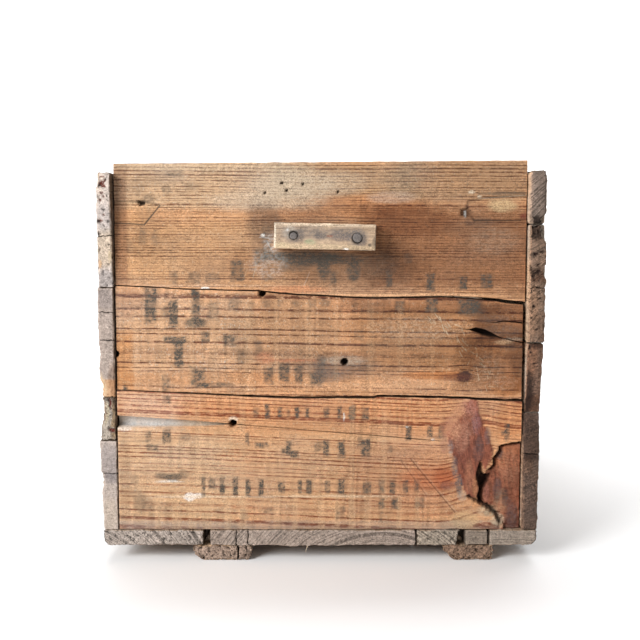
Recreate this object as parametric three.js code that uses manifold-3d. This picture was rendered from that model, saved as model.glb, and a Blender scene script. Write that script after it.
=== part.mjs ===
// A wooden apple crate: two ends of three boards each, slatted sides and bottom, two runners
// underneath, a corner cleat inside each corner and a grip cleat on each end, all nailed.
// Millimetres. +X is right and +Y is back, seen from the front end; +Z is up.
// The origin is on the floor, under the middle of the crate.

import * as THREE from 'three';
import { mergeVertices } from 'three/addons/utils/BufferGeometryUtils.js';
import Module from 'manifold-3d';

const wasm = await Module();
wasm.setup();

// Driving dimensions.
const clearance = 0.3;            // between pieces that touch
const insideLength = 432;         // between the two ends
const endThickness = 19;
const bottomThickness = 13.5;
const runnerHeight = 13.5;
const bottomLength = 477;         // bottom boards and runners, front to back
const cleatWidth = 34;            // corner cleats, along X
const cleatDepth = 17;            // corner cleats, along Y
const cleatTop = 330;
const handleSize = { x: 86, y: 20, z: 22 };

const endInner = insideLength / 2;
const endOuter = endInner + endThickness;
const bottomLow = runnerHeight + clearance;
const bottomHigh = bottomLow + bottomThickness;
const wallBottom = bottomHigh + clearance;

// Nails: head and shank radii, head thickness, how far the head is driven below the wood.
const nail = { head: 3.6, shank: 1.5, headThickness: 1.2, sunk: 0.4, tip: 4, sides: 8 };
const sideNailLength = 50;
const handleNailLength = 35;

// The joints between the end boards: points along the joint, and how far it stands open there.
const endJoints = {
  front: [
    [[-178, 243.4, 0.6], [-116, 240.2, 0.8], [-53, 238.8, 0.8], [0, 234.8, 0.9],
      [40, 232.8, 0.9], [106, 233.8, 0.9], [153, 230.8, 1.0], [178.5, 227.8, 1.2]],
    [[-178, 151.8, 0.4], [-130, 149.6, 0.4], [-81, 147.7, 1.4], [-23, 145.4, 1.8],
      [49, 146.2, 1.8], [96, 145.8, 1.8], [147, 143.4, 1.8], [178.5, 142.7, 1.8]],
  ],
  back: [
    [[-178, 240.5, 1.0], [-60, 238.5, 0.8], [40, 239.5, 0.8], [178.5, 236.6, 1.2]],
    [[-178, 146.8, 1.0], [-50, 143.2, 1.4], [60, 142.0, 1.4], [178.5, 138.4, 0.8]],
  ],
};
// Each end board: left and right edge, and how far its outer face stands proud of the end.
const endBoards = {
  front: [
    { name: 'top', left: -177.4, right: 178.1, proud: 0 },
    { name: 'middle', left: -177.6, right: 176.6, proud: 0 },
    { name: 'bottom', left: -177.6, right: 176.9, proud: 1.5 },
  ],
  back: [
    { name: 'top', left: -177.2, right: 178.0, proud: 0 },
    { name: 'middle', left: -177.5, right: 177.6, proud: 0.8 },
    { name: 'bottom', left: -176.9, right: 177.4, proud: 0 },
  ],
};
const endTop = {
  front: [[-178, 347.8], [178.5, 350.8]],
  back: [[-178, 348.6], [178.5, 349.4]],
};

// Side boards from the top down: lower and upper edge, inner and outer face (the outer one at
// the top and at the bottom edge), and how far each end runs past the crate's end, as [z, past].
const sideBoards = {
  left: [
    { low: 241.8, high: 339.6, inner: 178.0, outer: [190.2, 191.2],
      front: [[339.6, 11], [241.8, 3]], back: [[339.6, 4], [241.8, 6]], nails: [310, 265] },
    { low: 146.4, high: 241.4, inner: 178.6, outer: [192.4, 191.8],
      front: [[241.4, 3], [146.4, 3]], back: [[241.4, 7], [146.4, 5]], nails: [215, 170] },
    { low: 108.2, high: 146.0, inner: 178.6, outer: [190.8, 191.4],
      front: [[146.0, 3.5], [108.2, 3.5]], back: [[146.0, 2], [108.2, 2]], nails: [127] },
    { low: wallBottom, high: 107.8, inner: 178.0, outer: [193.0, 190.4],
      front: [[107.8, 3], [wallBottom, 3]], back: [[107.8, 5], [wallBottom, 4]], nails: [86, 50] },
  ],
  right: [
    { low: 295.9, high: 341.4, inner: 178.6, outer: [192.4, 193.0],
      front: [[341.4, 11], [295.9, 11]], back: [[341.4, 6], [295.9, 8]], nails: [318] },
    { low: 194.4, high: 295.5, inner: 179.2, outer: [193.0, 193.0],
      front: [[295.5, 12], [194.4, 11]], back: [[295.5, 3], [194.4, 4]], nails: [272, 217] },
    { low: 131.9, high: 194.0, inner: 179.4, outer: [193.0, 192.6],
      front: [[194.0, 9], [131.9, -1]], back: [[194.0, 8], [131.9, 7]], nails: [178, 153] },
    { low: wallBottom, high: 131.5, inner: 177.9, outer: [192.6, 191.4],
      front: [[131.5, -1], [95, 4], [wallBottom, 4]], back: [[131.5, 2], [wallBottom, 3]],
      nails: [106, 54] },
  ],
};

// Bottom boards from left to right: their sections, as X and the height above their underside.
const bottomSections = [
  [[-190.6, 6], [-185.5, 0], [-103.3, 0], [-103.3, 13.5], [-190.6, 13.5]],
  [[-97.2, 0], [84.3, 0], [84.3, 13.5], [-97.2, 13.5]],
  [[85.5, 0], [119.8, 0], [122.7, 13.5], [85.5, 13.5]],
  [[128.1, 0.4], [147.9, 0.4], [147.9, 13.1], [128.1, 13.1]],
  [[149.3, 0], [187, 0], [191.2, 4.5], [191.2, 13.5], [149.3, 13.5]],
];
const runnerSections = {
  left: [[-105.4, 0], [-62.6, 0], [-60.7, 13.5], [-112.8, 13.5]],
  right: [[117.8, 0], [152.4, 0], [153.0, 13.5], [108.8, 13.5]],
};

// The grip cleats: middle in X and Z, tilt, and the two nails in X and Z.
const handles = {
  front: { x: 4.1, z: 285.6, tilt: 1.3, nails: [[-22.3, 286.1], [31.3, 284.5]] },
  back: { x: -3.5, z: 287.0, tilt: -0.7, nails: [[-29.5, 286.8], [24.0, 287.2]] },
};

// Damage that goes deep into the front's bottom board, and old nail holes in the front boards.
const lostSplinter = {
  depth: 8,
  outline: [[-182, 130.2], [-144, 127.9], [-105, 124.9], [-75, 122.6], [-112, 119.8], [-182, 118.4]],
};
const knotSplit = {
  depth: 11,
  outline: [[141.4, 88.4], [147.5, 82], [149.2, 68], [142.9, 51.6], [139.5, 62], [139.8, 78]],
};
const oldNailHoles = { radius: 2.4, depth: 14, at: [[-50.2, 236.2], [21.4, 176.7], [-76.3, 115.6]] };

function paint(color, roughness, metalness = 0) {
  return new THREE.MeshStandardMaterial({ color, roughness, metalness });
}
const finishes = {
  end: paint(0xb07a48, 0.8),
  side: paint(0x8b8071, 0.9),
  bottom: paint(0x9d7f5c, 0.85),
  runner: paint(0x8c6f4e, 0.85),
  handle: paint(0xc49a68, 0.8),
  cleat: paint(0xa98658, 0.85),
  nail: paint(0x4a3a30, 0.7, 0.6),
};

const crate = new THREE.Group();

function addPiece(name, geometry, finish) {
  const piece = new THREE.Mesh(geometry, finish);
  piece.name = name;
  crate.add(piece);
  return piece;
}

// Cuts: a mesh's geometry to a manifold solid and back.
function toSolid(geometry) {
  const bare = geometry.clone();
  bare.deleteAttribute('normal');
  bare.deleteAttribute('uv');
  const merged = mergeVertices(bare, 1e-4);
  return new wasm.Manifold(new wasm.Mesh({
    numProp: 3,
    vertProperties: new Float32Array(merged.attributes.position.array),
    triVerts: new Uint32Array(merged.index.array),
  }));
}

function toGeometry(solid) {
  const { vertProperties, triVerts } = solid.getMesh();
  const geometry = new THREE.BufferGeometry();
  geometry.setAttribute('position', new THREE.BufferAttribute(vertProperties, 3));
  geometry.setIndex(new THREE.BufferAttribute(triVerts, 1));
  geometry.computeVertexNormals();
  return geometry;
}

// Takes a tool's shape, where it stands in the crate, out of a piece.
function cut(piece, toolGeometry, toolMatrix) {
  piece.updateMatrixWorld(true);
  const intoPiece = piece.matrixWorld.clone().invert().multiply(toolMatrix);
  const tool = toolGeometry.clone().applyMatrix4(intoPiece);
  piece.geometry = toGeometry(toSolid(piece.geometry).subtract(toSolid(tool)));
}

// A prism whose section is drawn in X and Z and that runs along Y from 0 to its length.
function prismAlongY(section, length) {
  const outline = new THREE.Shape(section.map(([x, z]) => new THREE.Vector2(x, z)));
  const geometry = new THREE.ExtrudeGeometry(outline, { depth: length, bevelEnabled: false });
  geometry.rotateX(Math.PI / 2);
  geometry.translate(0, length, 0);
  return geometry;
}

// One end board, between the joint below it and the joint above it.
function makeEndBoard(end, row) {
  const board = endBoards[end][row];
  const [upperJoint, lowerJoint] = [endJoints[end][row - 1], endJoints[end][row]];
  const withinBoard = ([x]) => x > board.left && x < board.right;
  const edgeLine = (points, sign) => {
    const line = points.map(([x, z, open = 0]) => [x, z + sign * open / 2]);
    return [[board.left, line[0][1]], ...line.filter(withinBoard), [board.right, line.at(-1)[1]]];
  };
  const upper = edgeLine(upperJoint ?? endTop[end], -1);
  const lower = lowerJoint ? edgeLine(lowerJoint, 1)
    : [[board.left, wallBottom], [board.right, wallBottom]];
  const thickness = endThickness + board.proud;
  const piece = addPiece(`${end}_end_board_${board.name}`,
    prismAlongY([...lower, ...upper.reverse()], thickness), finishes.end);
  piece.position.y = end === 'front' ? -endInner - thickness : endInner;
  return piece;
}

// One side board: its outline in Y and Z, given a thickness that may taper in height.
function makeSideBoard(side, row) {
  const board = sideBoards[side][row];
  const sign = side === 'left' ? -1 : 1;
  const outline = new THREE.Shape([
    ...board.front.map(([z, past]) => new THREE.Vector2(-endOuter - past, z)),
    ...board.back.toReversed().map(([z, past]) => new THREE.Vector2(endOuter + past, z)),
  ]);
  const geometry = new THREE.ExtrudeGeometry(outline, { depth: 1, bevelEnabled: false });
  geometry.applyMatrix4(new THREE.Matrix4().makeBasis(
    new THREE.Vector3(0, 1, 0), new THREE.Vector3(0, 0, 1), new THREE.Vector3(1, 0, 0)));
  const corners = geometry.attributes.position;
  for (let i = 0; i < corners.count; i += 1) {
    const down = (board.high - corners.getZ(i)) / (board.high - board.low);
    const outer = THREE.MathUtils.lerp(board.outer[0], board.outer[1], down);
    const isOuter = (corners.getX(i) > 0.5) === (sign > 0);
    corners.setX(i, sign * (isOuter ? outer : board.inner));
  }
  return addPiece(`${side}_side_board_${row + 1}`, geometry, finishes.side);
}

function makeBottomBoard(section, index) {
  const piece = addPiece(`bottom_board_${index + 1}`, prismAlongY(section, bottomLength),
    finishes.bottom);
  piece.position.set(0, -bottomLength / 2, bottomLow);
  return piece;
}

function makeRunner(side) {
  const piece = addPiece(`${side}_runner`, prismAlongY(runnerSections[side], bottomLength),
    finishes.runner);
  piece.position.y = -bottomLength / 2;
  return piece;
}

function makeCornerCleat(end, side) {
  const height = cleatTop - wallBottom;
  const geometry = new THREE.BoxGeometry(cleatWidth, cleatDepth, height);
  const piece = addPiece(`corner_cleat_${end}_${side}`, geometry, finishes.cleat);
  const sideInner = Math.min(...sideBoards[side].map((board) => board.inner));
  const x = sideInner - clearance - cleatWidth / 2;
  const y = endInner - clearance - cleatDepth / 2;
  piece.position.set(side === 'left' ? -x : x, end === 'front' ? -y : y, wallBottom + height / 2);
  return piece;
}

function makeHandle(end) {
  const handle = handles[end];
  const geometry = new THREE.BoxGeometry(handleSize.x, handleSize.y, handleSize.z);
  const piece = addPiece(`${end}_handle`, geometry, finishes.handle);
  const y = endOuter + clearance + handleSize.y / 2;
  piece.position.set(handle.x, end === 'front' ? -y : y, handle.z);
  piece.rotation.y = THREE.MathUtils.degToRad(handle.tilt);
  return piece;
}

// A nail's shape, head upwards along +Y with its top at 0; grow makes the hole that it stands in.
function nailGeometry(length, grow = 0) {
  const headTop = grow > 0 ? nail.sunk + grow : 0;
  const profile = [
    [0, -length - grow], [nail.shank + grow, -length + nail.tip],
    [nail.shank + grow, -nail.headThickness - grow], [nail.head + grow, -nail.headThickness - grow],
    [nail.head + grow, headTop], [0, headTop],
  ];
  return new THREE.LatheGeometry(profile.map(([r, y]) => new THREE.Vector2(r, y)), nail.sides);
}

// Drives a nail: places it, then cuts its hole in each piece that it goes through.
function driveNail(name, at, facing, length, throughPieces) {
  const piece = addPiece(name, nailGeometry(length), finishes.nail);
  piece.position.copy(at).addScaledVector(facing, -nail.sunk);
  piece.quaternion.setFromUnitVectors(new THREE.Vector3(0, 1, 0), facing);
  piece.updateMatrixWorld(true);
  const hole = nailGeometry(length, clearance);
  for (const through of throughPieces) {
    cut(through, hole, piece.matrixWorld);
  }
}

// Cuts a shape drawn in X and Z into the front of a piece, down to a depth.
function carveFront(piece, outline, depth) {
  const face = new THREE.Box3().setFromObject(piece).min.y;
  const startOutside = 5;
  const place = new THREE.Matrix4().makeTranslation(0, face - startOutside, 0);
  cut(piece, prismAlongY(outline, depth + startOutside), place);
}

function circle([x, z], radius, sides) {
  return Array.from({ length: sides }, (_, i) => {
    const angle = 2 * Math.PI * i / sides;
    return [x + radius * Math.cos(angle), z + radius * Math.sin(angle)];
  });
}

const ends = ['front', 'back'];
const sides = ['left', 'right'];
const pieces = { ends: {}, sides: {}, cleats: {}, handles: {} };
for (const end of ends) {
  pieces.ends[end] = endBoards[end].map((_, row) => makeEndBoard(end, row));
  pieces.handles[end] = makeHandle(end);
  for (const side of sides) {
    pieces.cleats[`${end}_${side}`] = makeCornerCleat(end, side);
  }
}
for (const side of sides) {
  pieces.sides[side] = sideBoards[side].map((_, row) => makeSideBoard(side, row));
  makeRunner(side);
}
bottomSections.forEach(makeBottomBoard);

const [, frontMiddle, frontBottom] = pieces.ends.front;
carveFront(frontBottom, lostSplinter.outline, lostSplinter.depth);
carveFront(frontBottom, knotSplit.outline, knotSplit.depth);
[frontMiddle, frontMiddle, frontBottom].forEach((piece, i) => {
  carveFront(piece, circle(oldNailHoles.at[i], oldNailHoles.radius, nail.sides), oldNailHoles.depth);
});

// Each end's side nails go by turns into the end boards and into the corner cleat.
for (const end of ends) {
  const outwards = end === 'front' ? -1 : 1;
  const intoEnd = outwards * (endInner + endThickness / 2);
  const intoCleat = outwards * (endInner - clearance - cleatDepth / 2);
  for (const side of sides) {
    const facing = new THREE.Vector3(side === 'left' ? -1 : 1, 0, 0);
    let count = 0;
    sideBoards[side].forEach((board, row) => board.nails.forEach((z, turn) => {
      count += 1;
      const down = (board.high - z) / (board.high - board.low);
      const face = THREE.MathUtils.lerp(board.outer[0], board.outer[1], down);
      const goesIntoEnd = (turn + row) % 2 === 0;
      const at = new THREE.Vector3(facing.x * face, goesIntoEnd ? intoEnd : intoCleat, z);
      const inEndBoard = pieces.ends[end].find((piece) => {
        const box = new THREE.Box3().setFromObject(piece);
        return box.min.z < z && z < box.max.z;
      });
      const backing = goesIntoEnd ? inEndBoard : pieces.cleats[`${end}_${side}`];
      driveNail(`side_nail_${end}_${side}_${count}`, at, facing, sideNailLength,
        [pieces.sides[side][row], backing]);
    }));
  }

  const facing = new THREE.Vector3(0, outwards, 0);
  const gripFace = outwards * (endOuter + clearance + handleSize.y);
  handles[end].nails.forEach(([x, z], i) => {
    driveNail(`handle_nail_${end}_${sides[i]}`, new THREE.Vector3(x, gripFace, z), facing,
      handleNailLength, [pieces.handles[end], pieces.ends[end][0]]);
  });
}

export default crate;
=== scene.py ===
import math

import bmesh
import bpy
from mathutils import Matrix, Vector, noise


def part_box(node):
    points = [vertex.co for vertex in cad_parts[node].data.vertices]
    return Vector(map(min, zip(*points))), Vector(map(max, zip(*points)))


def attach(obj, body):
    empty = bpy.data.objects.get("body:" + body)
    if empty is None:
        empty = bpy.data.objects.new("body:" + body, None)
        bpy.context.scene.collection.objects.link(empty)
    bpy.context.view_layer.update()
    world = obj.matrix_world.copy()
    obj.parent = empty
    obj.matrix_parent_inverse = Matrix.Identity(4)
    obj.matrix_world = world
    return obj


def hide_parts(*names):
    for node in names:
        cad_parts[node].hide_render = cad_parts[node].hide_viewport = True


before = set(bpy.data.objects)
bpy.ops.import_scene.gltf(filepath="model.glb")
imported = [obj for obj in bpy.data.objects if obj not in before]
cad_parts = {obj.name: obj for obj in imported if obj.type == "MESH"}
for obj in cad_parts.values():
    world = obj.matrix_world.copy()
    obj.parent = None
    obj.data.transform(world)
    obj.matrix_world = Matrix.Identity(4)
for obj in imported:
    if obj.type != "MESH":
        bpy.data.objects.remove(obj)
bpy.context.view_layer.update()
print("frame loaded")

mm = 0.001

# Each kind of piece has its own directions: along the grain, across the board, and outwards.
xAxis, yAxis, zAxis = Vector((1, 0, 0)), Vector((0, 1, 0)), Vector((0, 0, 1))
turns = {
    "front": (xAxis, zAxis, -yAxis),
    "back": (xAxis, zAxis, yAxis),
    "left": (yAxis, zAxis, -xAxis),
    "right": (yAxis, zAxis, xAxis),
    "under": (yAxis, xAxis, -zAxis),
    "uprightFront": (zAxis, xAxis, yAxis),
    "uprightBack": (zAxis, xAxis, -yAxis),
}


def onLine(points, at):
    # the height, at a place, of a line through points
    if at <= points[0][0]:
        return points[0][1]
    for (x0, y0), (x1, y1) in zip(points, points[1:]):
        if at <= x1:
            return y0 + (y1 - y0) * (at - x0) / (x1 - x0)
    return points[-1][1]


def clamp(value, low=0.0, high=1.0):
    return min(max(value, low), high)


def smooth(value, low, high):
    t = clamp((value - low) / (high - low))
    return t * t * (3 - 2 * t)


def ripple(a, b, c=0.0):
    # smooth noise between about -1 and 1
    return noise.noise(Vector((a, b, c)))


def depthInside(outline, a, b):
    # how far a point is inside a closed outline, in mm; negative outside
    nearest, inside = 1e9, False
    for (x0, y0), (x1, y1) in zip(outline, outline[1:] + outline[:1]):
        dx, dy = x1 - x0, y1 - y0
        t = clamp(((a - x0) * dx + (b - y0) * dy) / (dx * dx + dy * dy))
        nearest = min(nearest, math.hypot(a - x0 - t * dx, b - y0 - t * dy))
        if (y0 > b) != (y1 > b) and a < x0 + (b - y0) * dx / dy:
            inside = not inside
    return nearest if inside else -nearest


splitRow = 0.16    # mm between the mesh rows that make a split
splitRows = 3      # rows on each side of its middle


def meshPlaces(low, high, step, wear, marks=(), fineEnds=None):
    # where the mesh is cut: even steps, finer at the two edges and round each mark
    firm = [low, high] + [m + k * splitRow for m in marks for k in range(-splitRows, splitRows + 1)]
    loose = [edge + sign * part * wear for edge, sign in ((low, 1), (high, -1))
             for part in (0.2, 0.5, 0.9, 1.4)]
    if fineEnds:
        reach, fineStep = fineEnds
        count = round(reach / fineStep)
        loose += [edge + sign * i * fineStep for edge, sign in ((low, 1), (high, -1))
                  for i in range(1, count)]
    count = max(2, round((high - low) / step))
    loose += [low + (high - low) * i / count for i in range(1, count)]
    kept = sorted(firm)
    for place in loose:
        if min(abs(place - k) for k in kept) > 0.22 * min(step, 1.5):
            kept.append(place)
    return sorted(kept)


def gridBox(placesEachWay):
    # a closed box whose faces are cut into a grid at the places given
    bm = bmesh.new()
    bmesh.ops.create_cube(bm, size=1)
    for axis, places in enumerate(placesEachWay):
        running = [e for e in bm.edges if abs(e.verts[0].co[axis] - e.verts[1].co[axis]) > 1e-6]
        bmesh.ops.subdivide_edges(bm, edges=running, cuts=len(places) - 2, use_grid_fill=True)
    for v in bm.verts:
        v.co = [places[round((part + 0.5) * (len(places) - 1))]
                for part, places in zip(v.co, placesEachWay)]
    return bm


leanReach = 14      # how far a lean of a long edge reaches into the board, mm
innerPaintedLightReach = 20     # how far the painted shade and highlight on the inner face reach from the ends

boardDefaults = {
    "step": (1.8, 1.6, 3.0),        # mesh step along, across and through, mm
    "fineEnds": None,               # (reach, step) of a finer mesh at both ends
    "wear": 1.2,                    # how round the edges are worn
    "relief": 0.22,                 # height of the weathered surface's waves
    "endRelief": 0.5,               # the same on the sawn ends
    "pits": 0.0,                    # depth of the pits in the sawn ends
    "edgeWobble": 0.35,             # how far the long edges wander
    "size": None, "tilt": 0.0,      # a tilted piece's own length and width, and its tilt
    "low": None, "high": None,      # the long edges, as (along, across) points
    "start": None, "finish": None,  # the ends, as (across, along) points
    "outer": None,                  # the outer face, as (across, height) points
    "lowSide": None, "highSide": None,  # how far the long edges lean in, as (height, shift) points
    "splits": (),                   # cracks along the grain
    "checks": (),                   # short cracks at the ends
    "bites": (),                    # wood lost from an end's outer or inner corner
    "endHoles": (),                 # small holes in the first end: place, and half its size
    "endTones": (), "endPaints": (),    # patches on the first end, as (across, height)
    "innerPaintedLight": (1, 1, 1),         # painted light on the inner face near the ends: below 1 is painted shade, above 1 is painted highlight
    "sawnReach": 0.35,              # how far the end's colour reaches along the faces
    "holeColour": (0.11, 0.022, 0.013),  # inside the small holes of the first end
    "edgeGrimeAndShade": 0.0,               # dirt on the long edges, and painted shade on them inside the joints
    "dents": (),                    # recesses and holes in the outer face
    "tones": (),                    # soft patches that are lighter or darker
    "paints": (),                   # patches that cover the wood
    "seed": 0,
}


def boardBox(node, axes, size):
    # the board's straight box, in mm, in its own directions
    corners = [[corner.dot(axis) / mm for axis in axes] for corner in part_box(node)]
    low, high = [list(map(pick, *corners)) for pick in (min, max)]
    for way, length in enumerate(size or ()):
        middle = (low[way] + high[way]) / 2
        low[way], high[way] = middle - length / 2, middle + length / 2
    return low, high


def nailDents(axes, low, high):
    # a shallow ring under each nail head that sits on the board's outer face
    dents = []
    for nail in nails:
        a, b, c = [nail["head"].dot(axis) for axis in axes]
        onFace = nail["facing"].dot(axes[2]) > 0.9 and abs(c - high[2]) < 4
        if onFace and low[0] < a < high[0] and low[1] < b < high[1]:
            dents.append(roundDent((a, b), nailShape["head"] * nail["wide"] + 0.8, depth=0.9, soft=0.4,
                                   mask="grime", strength=1.0))
    return dents


def makeBoard(node, turn, shape, material):
    spec = {**boardDefaults, **shape}
    seed = spec["seed"]
    axes = turns[turn]
    (a0, b0, c0), (a1, b1, c1) = boardBox(node, axes, spec["size"])
    thick = c1 - c0
    marks = [split["level"] for split in spec["splits"]]
    marks += [check["at"] for check in spec["checks"]]
    stepA, stepB, stepC = spec["step"]
    bm = gridBox((
        meshPlaces(a0, a1, stepA, spec["wear"], fineEnds=spec["fineEnds"]),
        meshPlaces(b0, b1, stepB, spec["wear"], marks),
        meshPlaces(c0, c1, stepC, spec["wear"]),
    ))
    masks = {name: bm.verts.layers.float.new(name)
             for name in ("grime", "fresh", "sawn", "edge", "knot", "outer")}
    paint = bm.verts.layers.float_color.new("paint")
    tone = bm.verts.layers.float_color.new("tone")
    halfSplit = splitRow * splitRows
    lows = spec["low"] or [(a0, b0)]
    highs = spec["high"] or [(a0, b1)]
    starts = spec["start"] or [(b0, a0)]
    finishes = spec["finish"] or [(b0, a1)]
    outers = spec["outer"] or [(b0, c1)]
    dents = list(spec["dents"]) + nailDents(axes, (a0, b0, c0), (a1, b1, c1))
    wobble = spec["edgeWobble"]
    cosine, sine = math.cos(math.radians(spec["tilt"])), math.sin(math.radians(spec["tilt"]))
    midA, midB = (a0 + a1) / 2, (b0 + b1) / 2
    warps = {}

    def warpAt(a):
        # where the straight board's levels go to at this place along it
        if a not in warps:
            line = [(b0, onLine(lows, a) + wobble * (ripple(a * 0.09, seed, 1)
                                                     + 0.4 * ripple(a * 0.5, seed, 2)))]
            for split in sorted(spec["splits"], key=lambda s: s["level"]):
                middle = onLine(split["line"], a) + 0.3 * ripple(a * 0.35, seed, split["level"])
                half = onLine(split["open"], a) / 2
                line += [(split["level"] - halfSplit, middle - half),
                         (split["level"] + halfSplit, middle + half)]
            line.append((b1, onLine(highs, a) + wobble * (ripple(a * 0.09, seed, 3)
                                                          + 0.4 * ripple(a * 0.5, seed, 4))))
            warps[a] = line
        return warps[a]

    for v in bm.verts:
        a, b, c = v.co
        atEnd = min(a - a0, a1 - a) < 1e-3
        atOuter, atInner = c1 - c < 1e-3, c - c0 < 1e-3
        grime = fresh = knot = 0.0
        fromEnd, fromEdge, fromFace = min(a - a0, a1 - a), min(b - b0, b1 - b), min(c - c0, c1 - c)
        inwards = 1 if a - a0 < a1 - a else -1

        # worn edges and corners
        radius = spec["wear"] * (0.8 + 0.6 * ripple(a * 0.045, b * 0.045, seed + 9 + c)
                                 + 0.45 * ripple(a * 0.3, b * 0.3, seed + 5 + c))
        radius = clamp(radius, 0.2, thick * 0.45)
        core = Vector((clamp(a, a0 + radius, a1 - radius), clamp(b, b0 + radius, b1 - radius),
                       clamp(c, c0 + radius, c1 - radius)))
        away = Vector((a, b, c)) - core
        moved = core + away.normalized() * radius if away.length > 1e-6 else Vector((a, b, c))

        # the weathered surface, and rough ends
        if atOuter or atInner:
            wave = spec["relief"] * (ripple(a * 0.012, b * 0.35, seed + c * 0.3)
                                     + 0.6 * ripple(a * 0.07, b * 0.12, seed + 3))
            moved[2] += wave if atOuter else -wave
            if spec["fineEnds"]:
                ragged = 1 - smooth(fromEnd, 0, 9)
                moved[2] -= (1 if atOuter else -1) * ragged * spec["endRelief"] * (
                    0.1 + 0.8 * ripple(b * 0.14, c, seed + 12)
                    + 0.6 * ripple(b * 0.6, a * 0.3, seed + c))
        if atEnd:
            rough = spec["endRelief"]
            pit = spec["pits"] * smooth(ripple(b * 0.3, c * 0.34, seed + 15), 0.28, 0.5)
            moved[0] += inwards * (pit + rough * (0.5 + 0.7 * ripple(b * 0.16, c * 0.16, seed + 7)
                                                  + 0.5 * ripple(b * 0.75, c * 0.75, seed + 8)))
            grime = max(grime, 0.8 * smooth(pit, 0.2, 1.2))

        # end checks: a groove in the end that runs out along both faces
        for check in spec["checks"]:
            off = abs(b - check["at"]) / splitRow
            atStart = check.get("end", "start") == "start"
            dist = a - a0 if atStart else a1 - a
            near = math.exp(-((b - check["at"]) / 5) ** 2) * clamp(1 - dist / 12)
            moved[1] += near * (1.4 * ripple(c * 0.22, seed, check["at"])
                                + 0.5 * ripple(c * 0.8, seed, b))
            if off < splitRows and dist < check["run"]:
                deep = 1 - (off / splitRows) ** 2
                fade = 1 - dist / check["run"]
                if atEnd:
                    moved[0] += (1 if atStart else -1) * check["deep"] * deep
                if atOuter:
                    moved[2] -= 2.5 * deep * fade
                grime = max(grime, deep * fade)

        # small knot holes in the first end
        holeCover = 0.0
        for holeB, holeC, reachB, reachC in spec["endHoles"]:
            if a - a0 < 1e-3:
                out = ((b - holeB) / reachB) ** 2 + ((c - holeC) / reachC) ** 2
                amount = 1 - smooth(out, 0.6, 1.9)
                moved[0] += 1.6 * amount
                holeCover = max(holeCover, amount)

        # wood lost at an end
        for bite in spec["bites"]:
            dist = a - a0 if bite.get("end", "start") == "start" else a1 - a
            off = (b - bite["at"]) / bite["reach"]
            if abs(off) < 1 and dist < bite["run"]:
                amount = (1 - off * off) * (1 - dist / bite["run"]) \
                    * (1 + 0.5 * ripple(b, a * 0.4, seed))
                share = (c - c0) / thick if bite.get("outer", True) else (c1 - c) / thick
                sign = -1 if bite.get("outer", True) else 1
                moved[2] += sign * bite["deep"] * amount * share
                moved[0] += inwards * bite["deep"] * 0.5 * amount * share
                fresh = max(fresh, bite.get("bare", 0) * smooth(amount, 0.05, 0.4))
                grime = max(grime, bite.get("dark", 0) * smooth(amount, 0.2, 0.7))

        # long splits
        for split in spec["splits"]:
            off = abs(b - split["level"]) / splitRow
            if off < splitRows - 0.5:
                deep = onLine(split["depth"], a) * (1 - (off / splitRows) ** 4)
                if deep > 0:
                    uneven = split.get("rough", 0) * ripple(a * 0.08, off * 0.9 + b, seed + 4)
                    moved[2] -= (deep + uneven) * (c - c0) / thick
                    grime = max(grime, onLine(split["grime"], a) * min(1, deep))
                    fresh = max(fresh, onLine(split.get("bare", [(0, 0)]), a) * min(1, deep))

        # to the board's real outline
        bOut = onLine(warpAt(a), b) + (moved[1] - b)
        aOut = moved[0] + (onLine(starts, bOut) - a0) * (a1 - a) / (a1 - a0)
        aOut += (onLine(finishes, bOut) - a1) * (a - a0) / (a1 - a0)
        cOut = moved[2] + (onLine(outers, bOut) - c1) * (c - c0) / thick
        for side, dist in (("lowSide", b - b0), ("highSide", b1 - b)):
            if spec[side] and dist < leanReach:
                bOut += onLine(spec[side], c) * (1 - dist / leanReach)
        if spec["fineEnds"] and fromEdge < 1e-3:
            ragged = spec["endRelief"] * (1 - smooth(fromEnd, 0, 6)) * ripple(c * 0.5, seed, b)
            bOut += ragged if b - b0 < 1 else -ragged

        # dents: recesses with their own floor, by how far inside the outline the point is
        for dent in dents:
            (lowA, lowB), (highA, highB) = dent["around"]
            if not (lowA < aOut < highA and lowB < bOut < highB):
                continue
            soft, strength = dent["soft"], dent.get("strength", 1)
            inside = depthInside(dent["outline"], aOut, bOut)
            inside += dent.get("ragged", 0) * ripple(aOut * 0.45, bOut * 0.3, seed + 21)
            amount = smooth(inside, -soft, soft)
            rough = dent.get("rough", 0) * ripple(aOut * 0.4, bOut * 0.25, seed + 6)
            cOut -= amount * (dent["depth"] + rough) * (c - c0) / thick
            if dent.get("mask") == "grime":
                grime = max(grime, strength * smooth(inside, -soft * 2, soft))
            elif dent.get("mask") == "fresh":
                fresh = max(fresh, strength * amount)
            elif dent.get("mask") == "knot":
                knot = max(knot, strength * amount)
            grime = max(grime, dent.get("rim", 0) * (1 - smooth(abs(inside), 0.2, 1.5)))

        # the long edges' faces, inside the joints and gaps, are darkened: dirt, and painted shade that
        # keeps the gaps black
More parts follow.
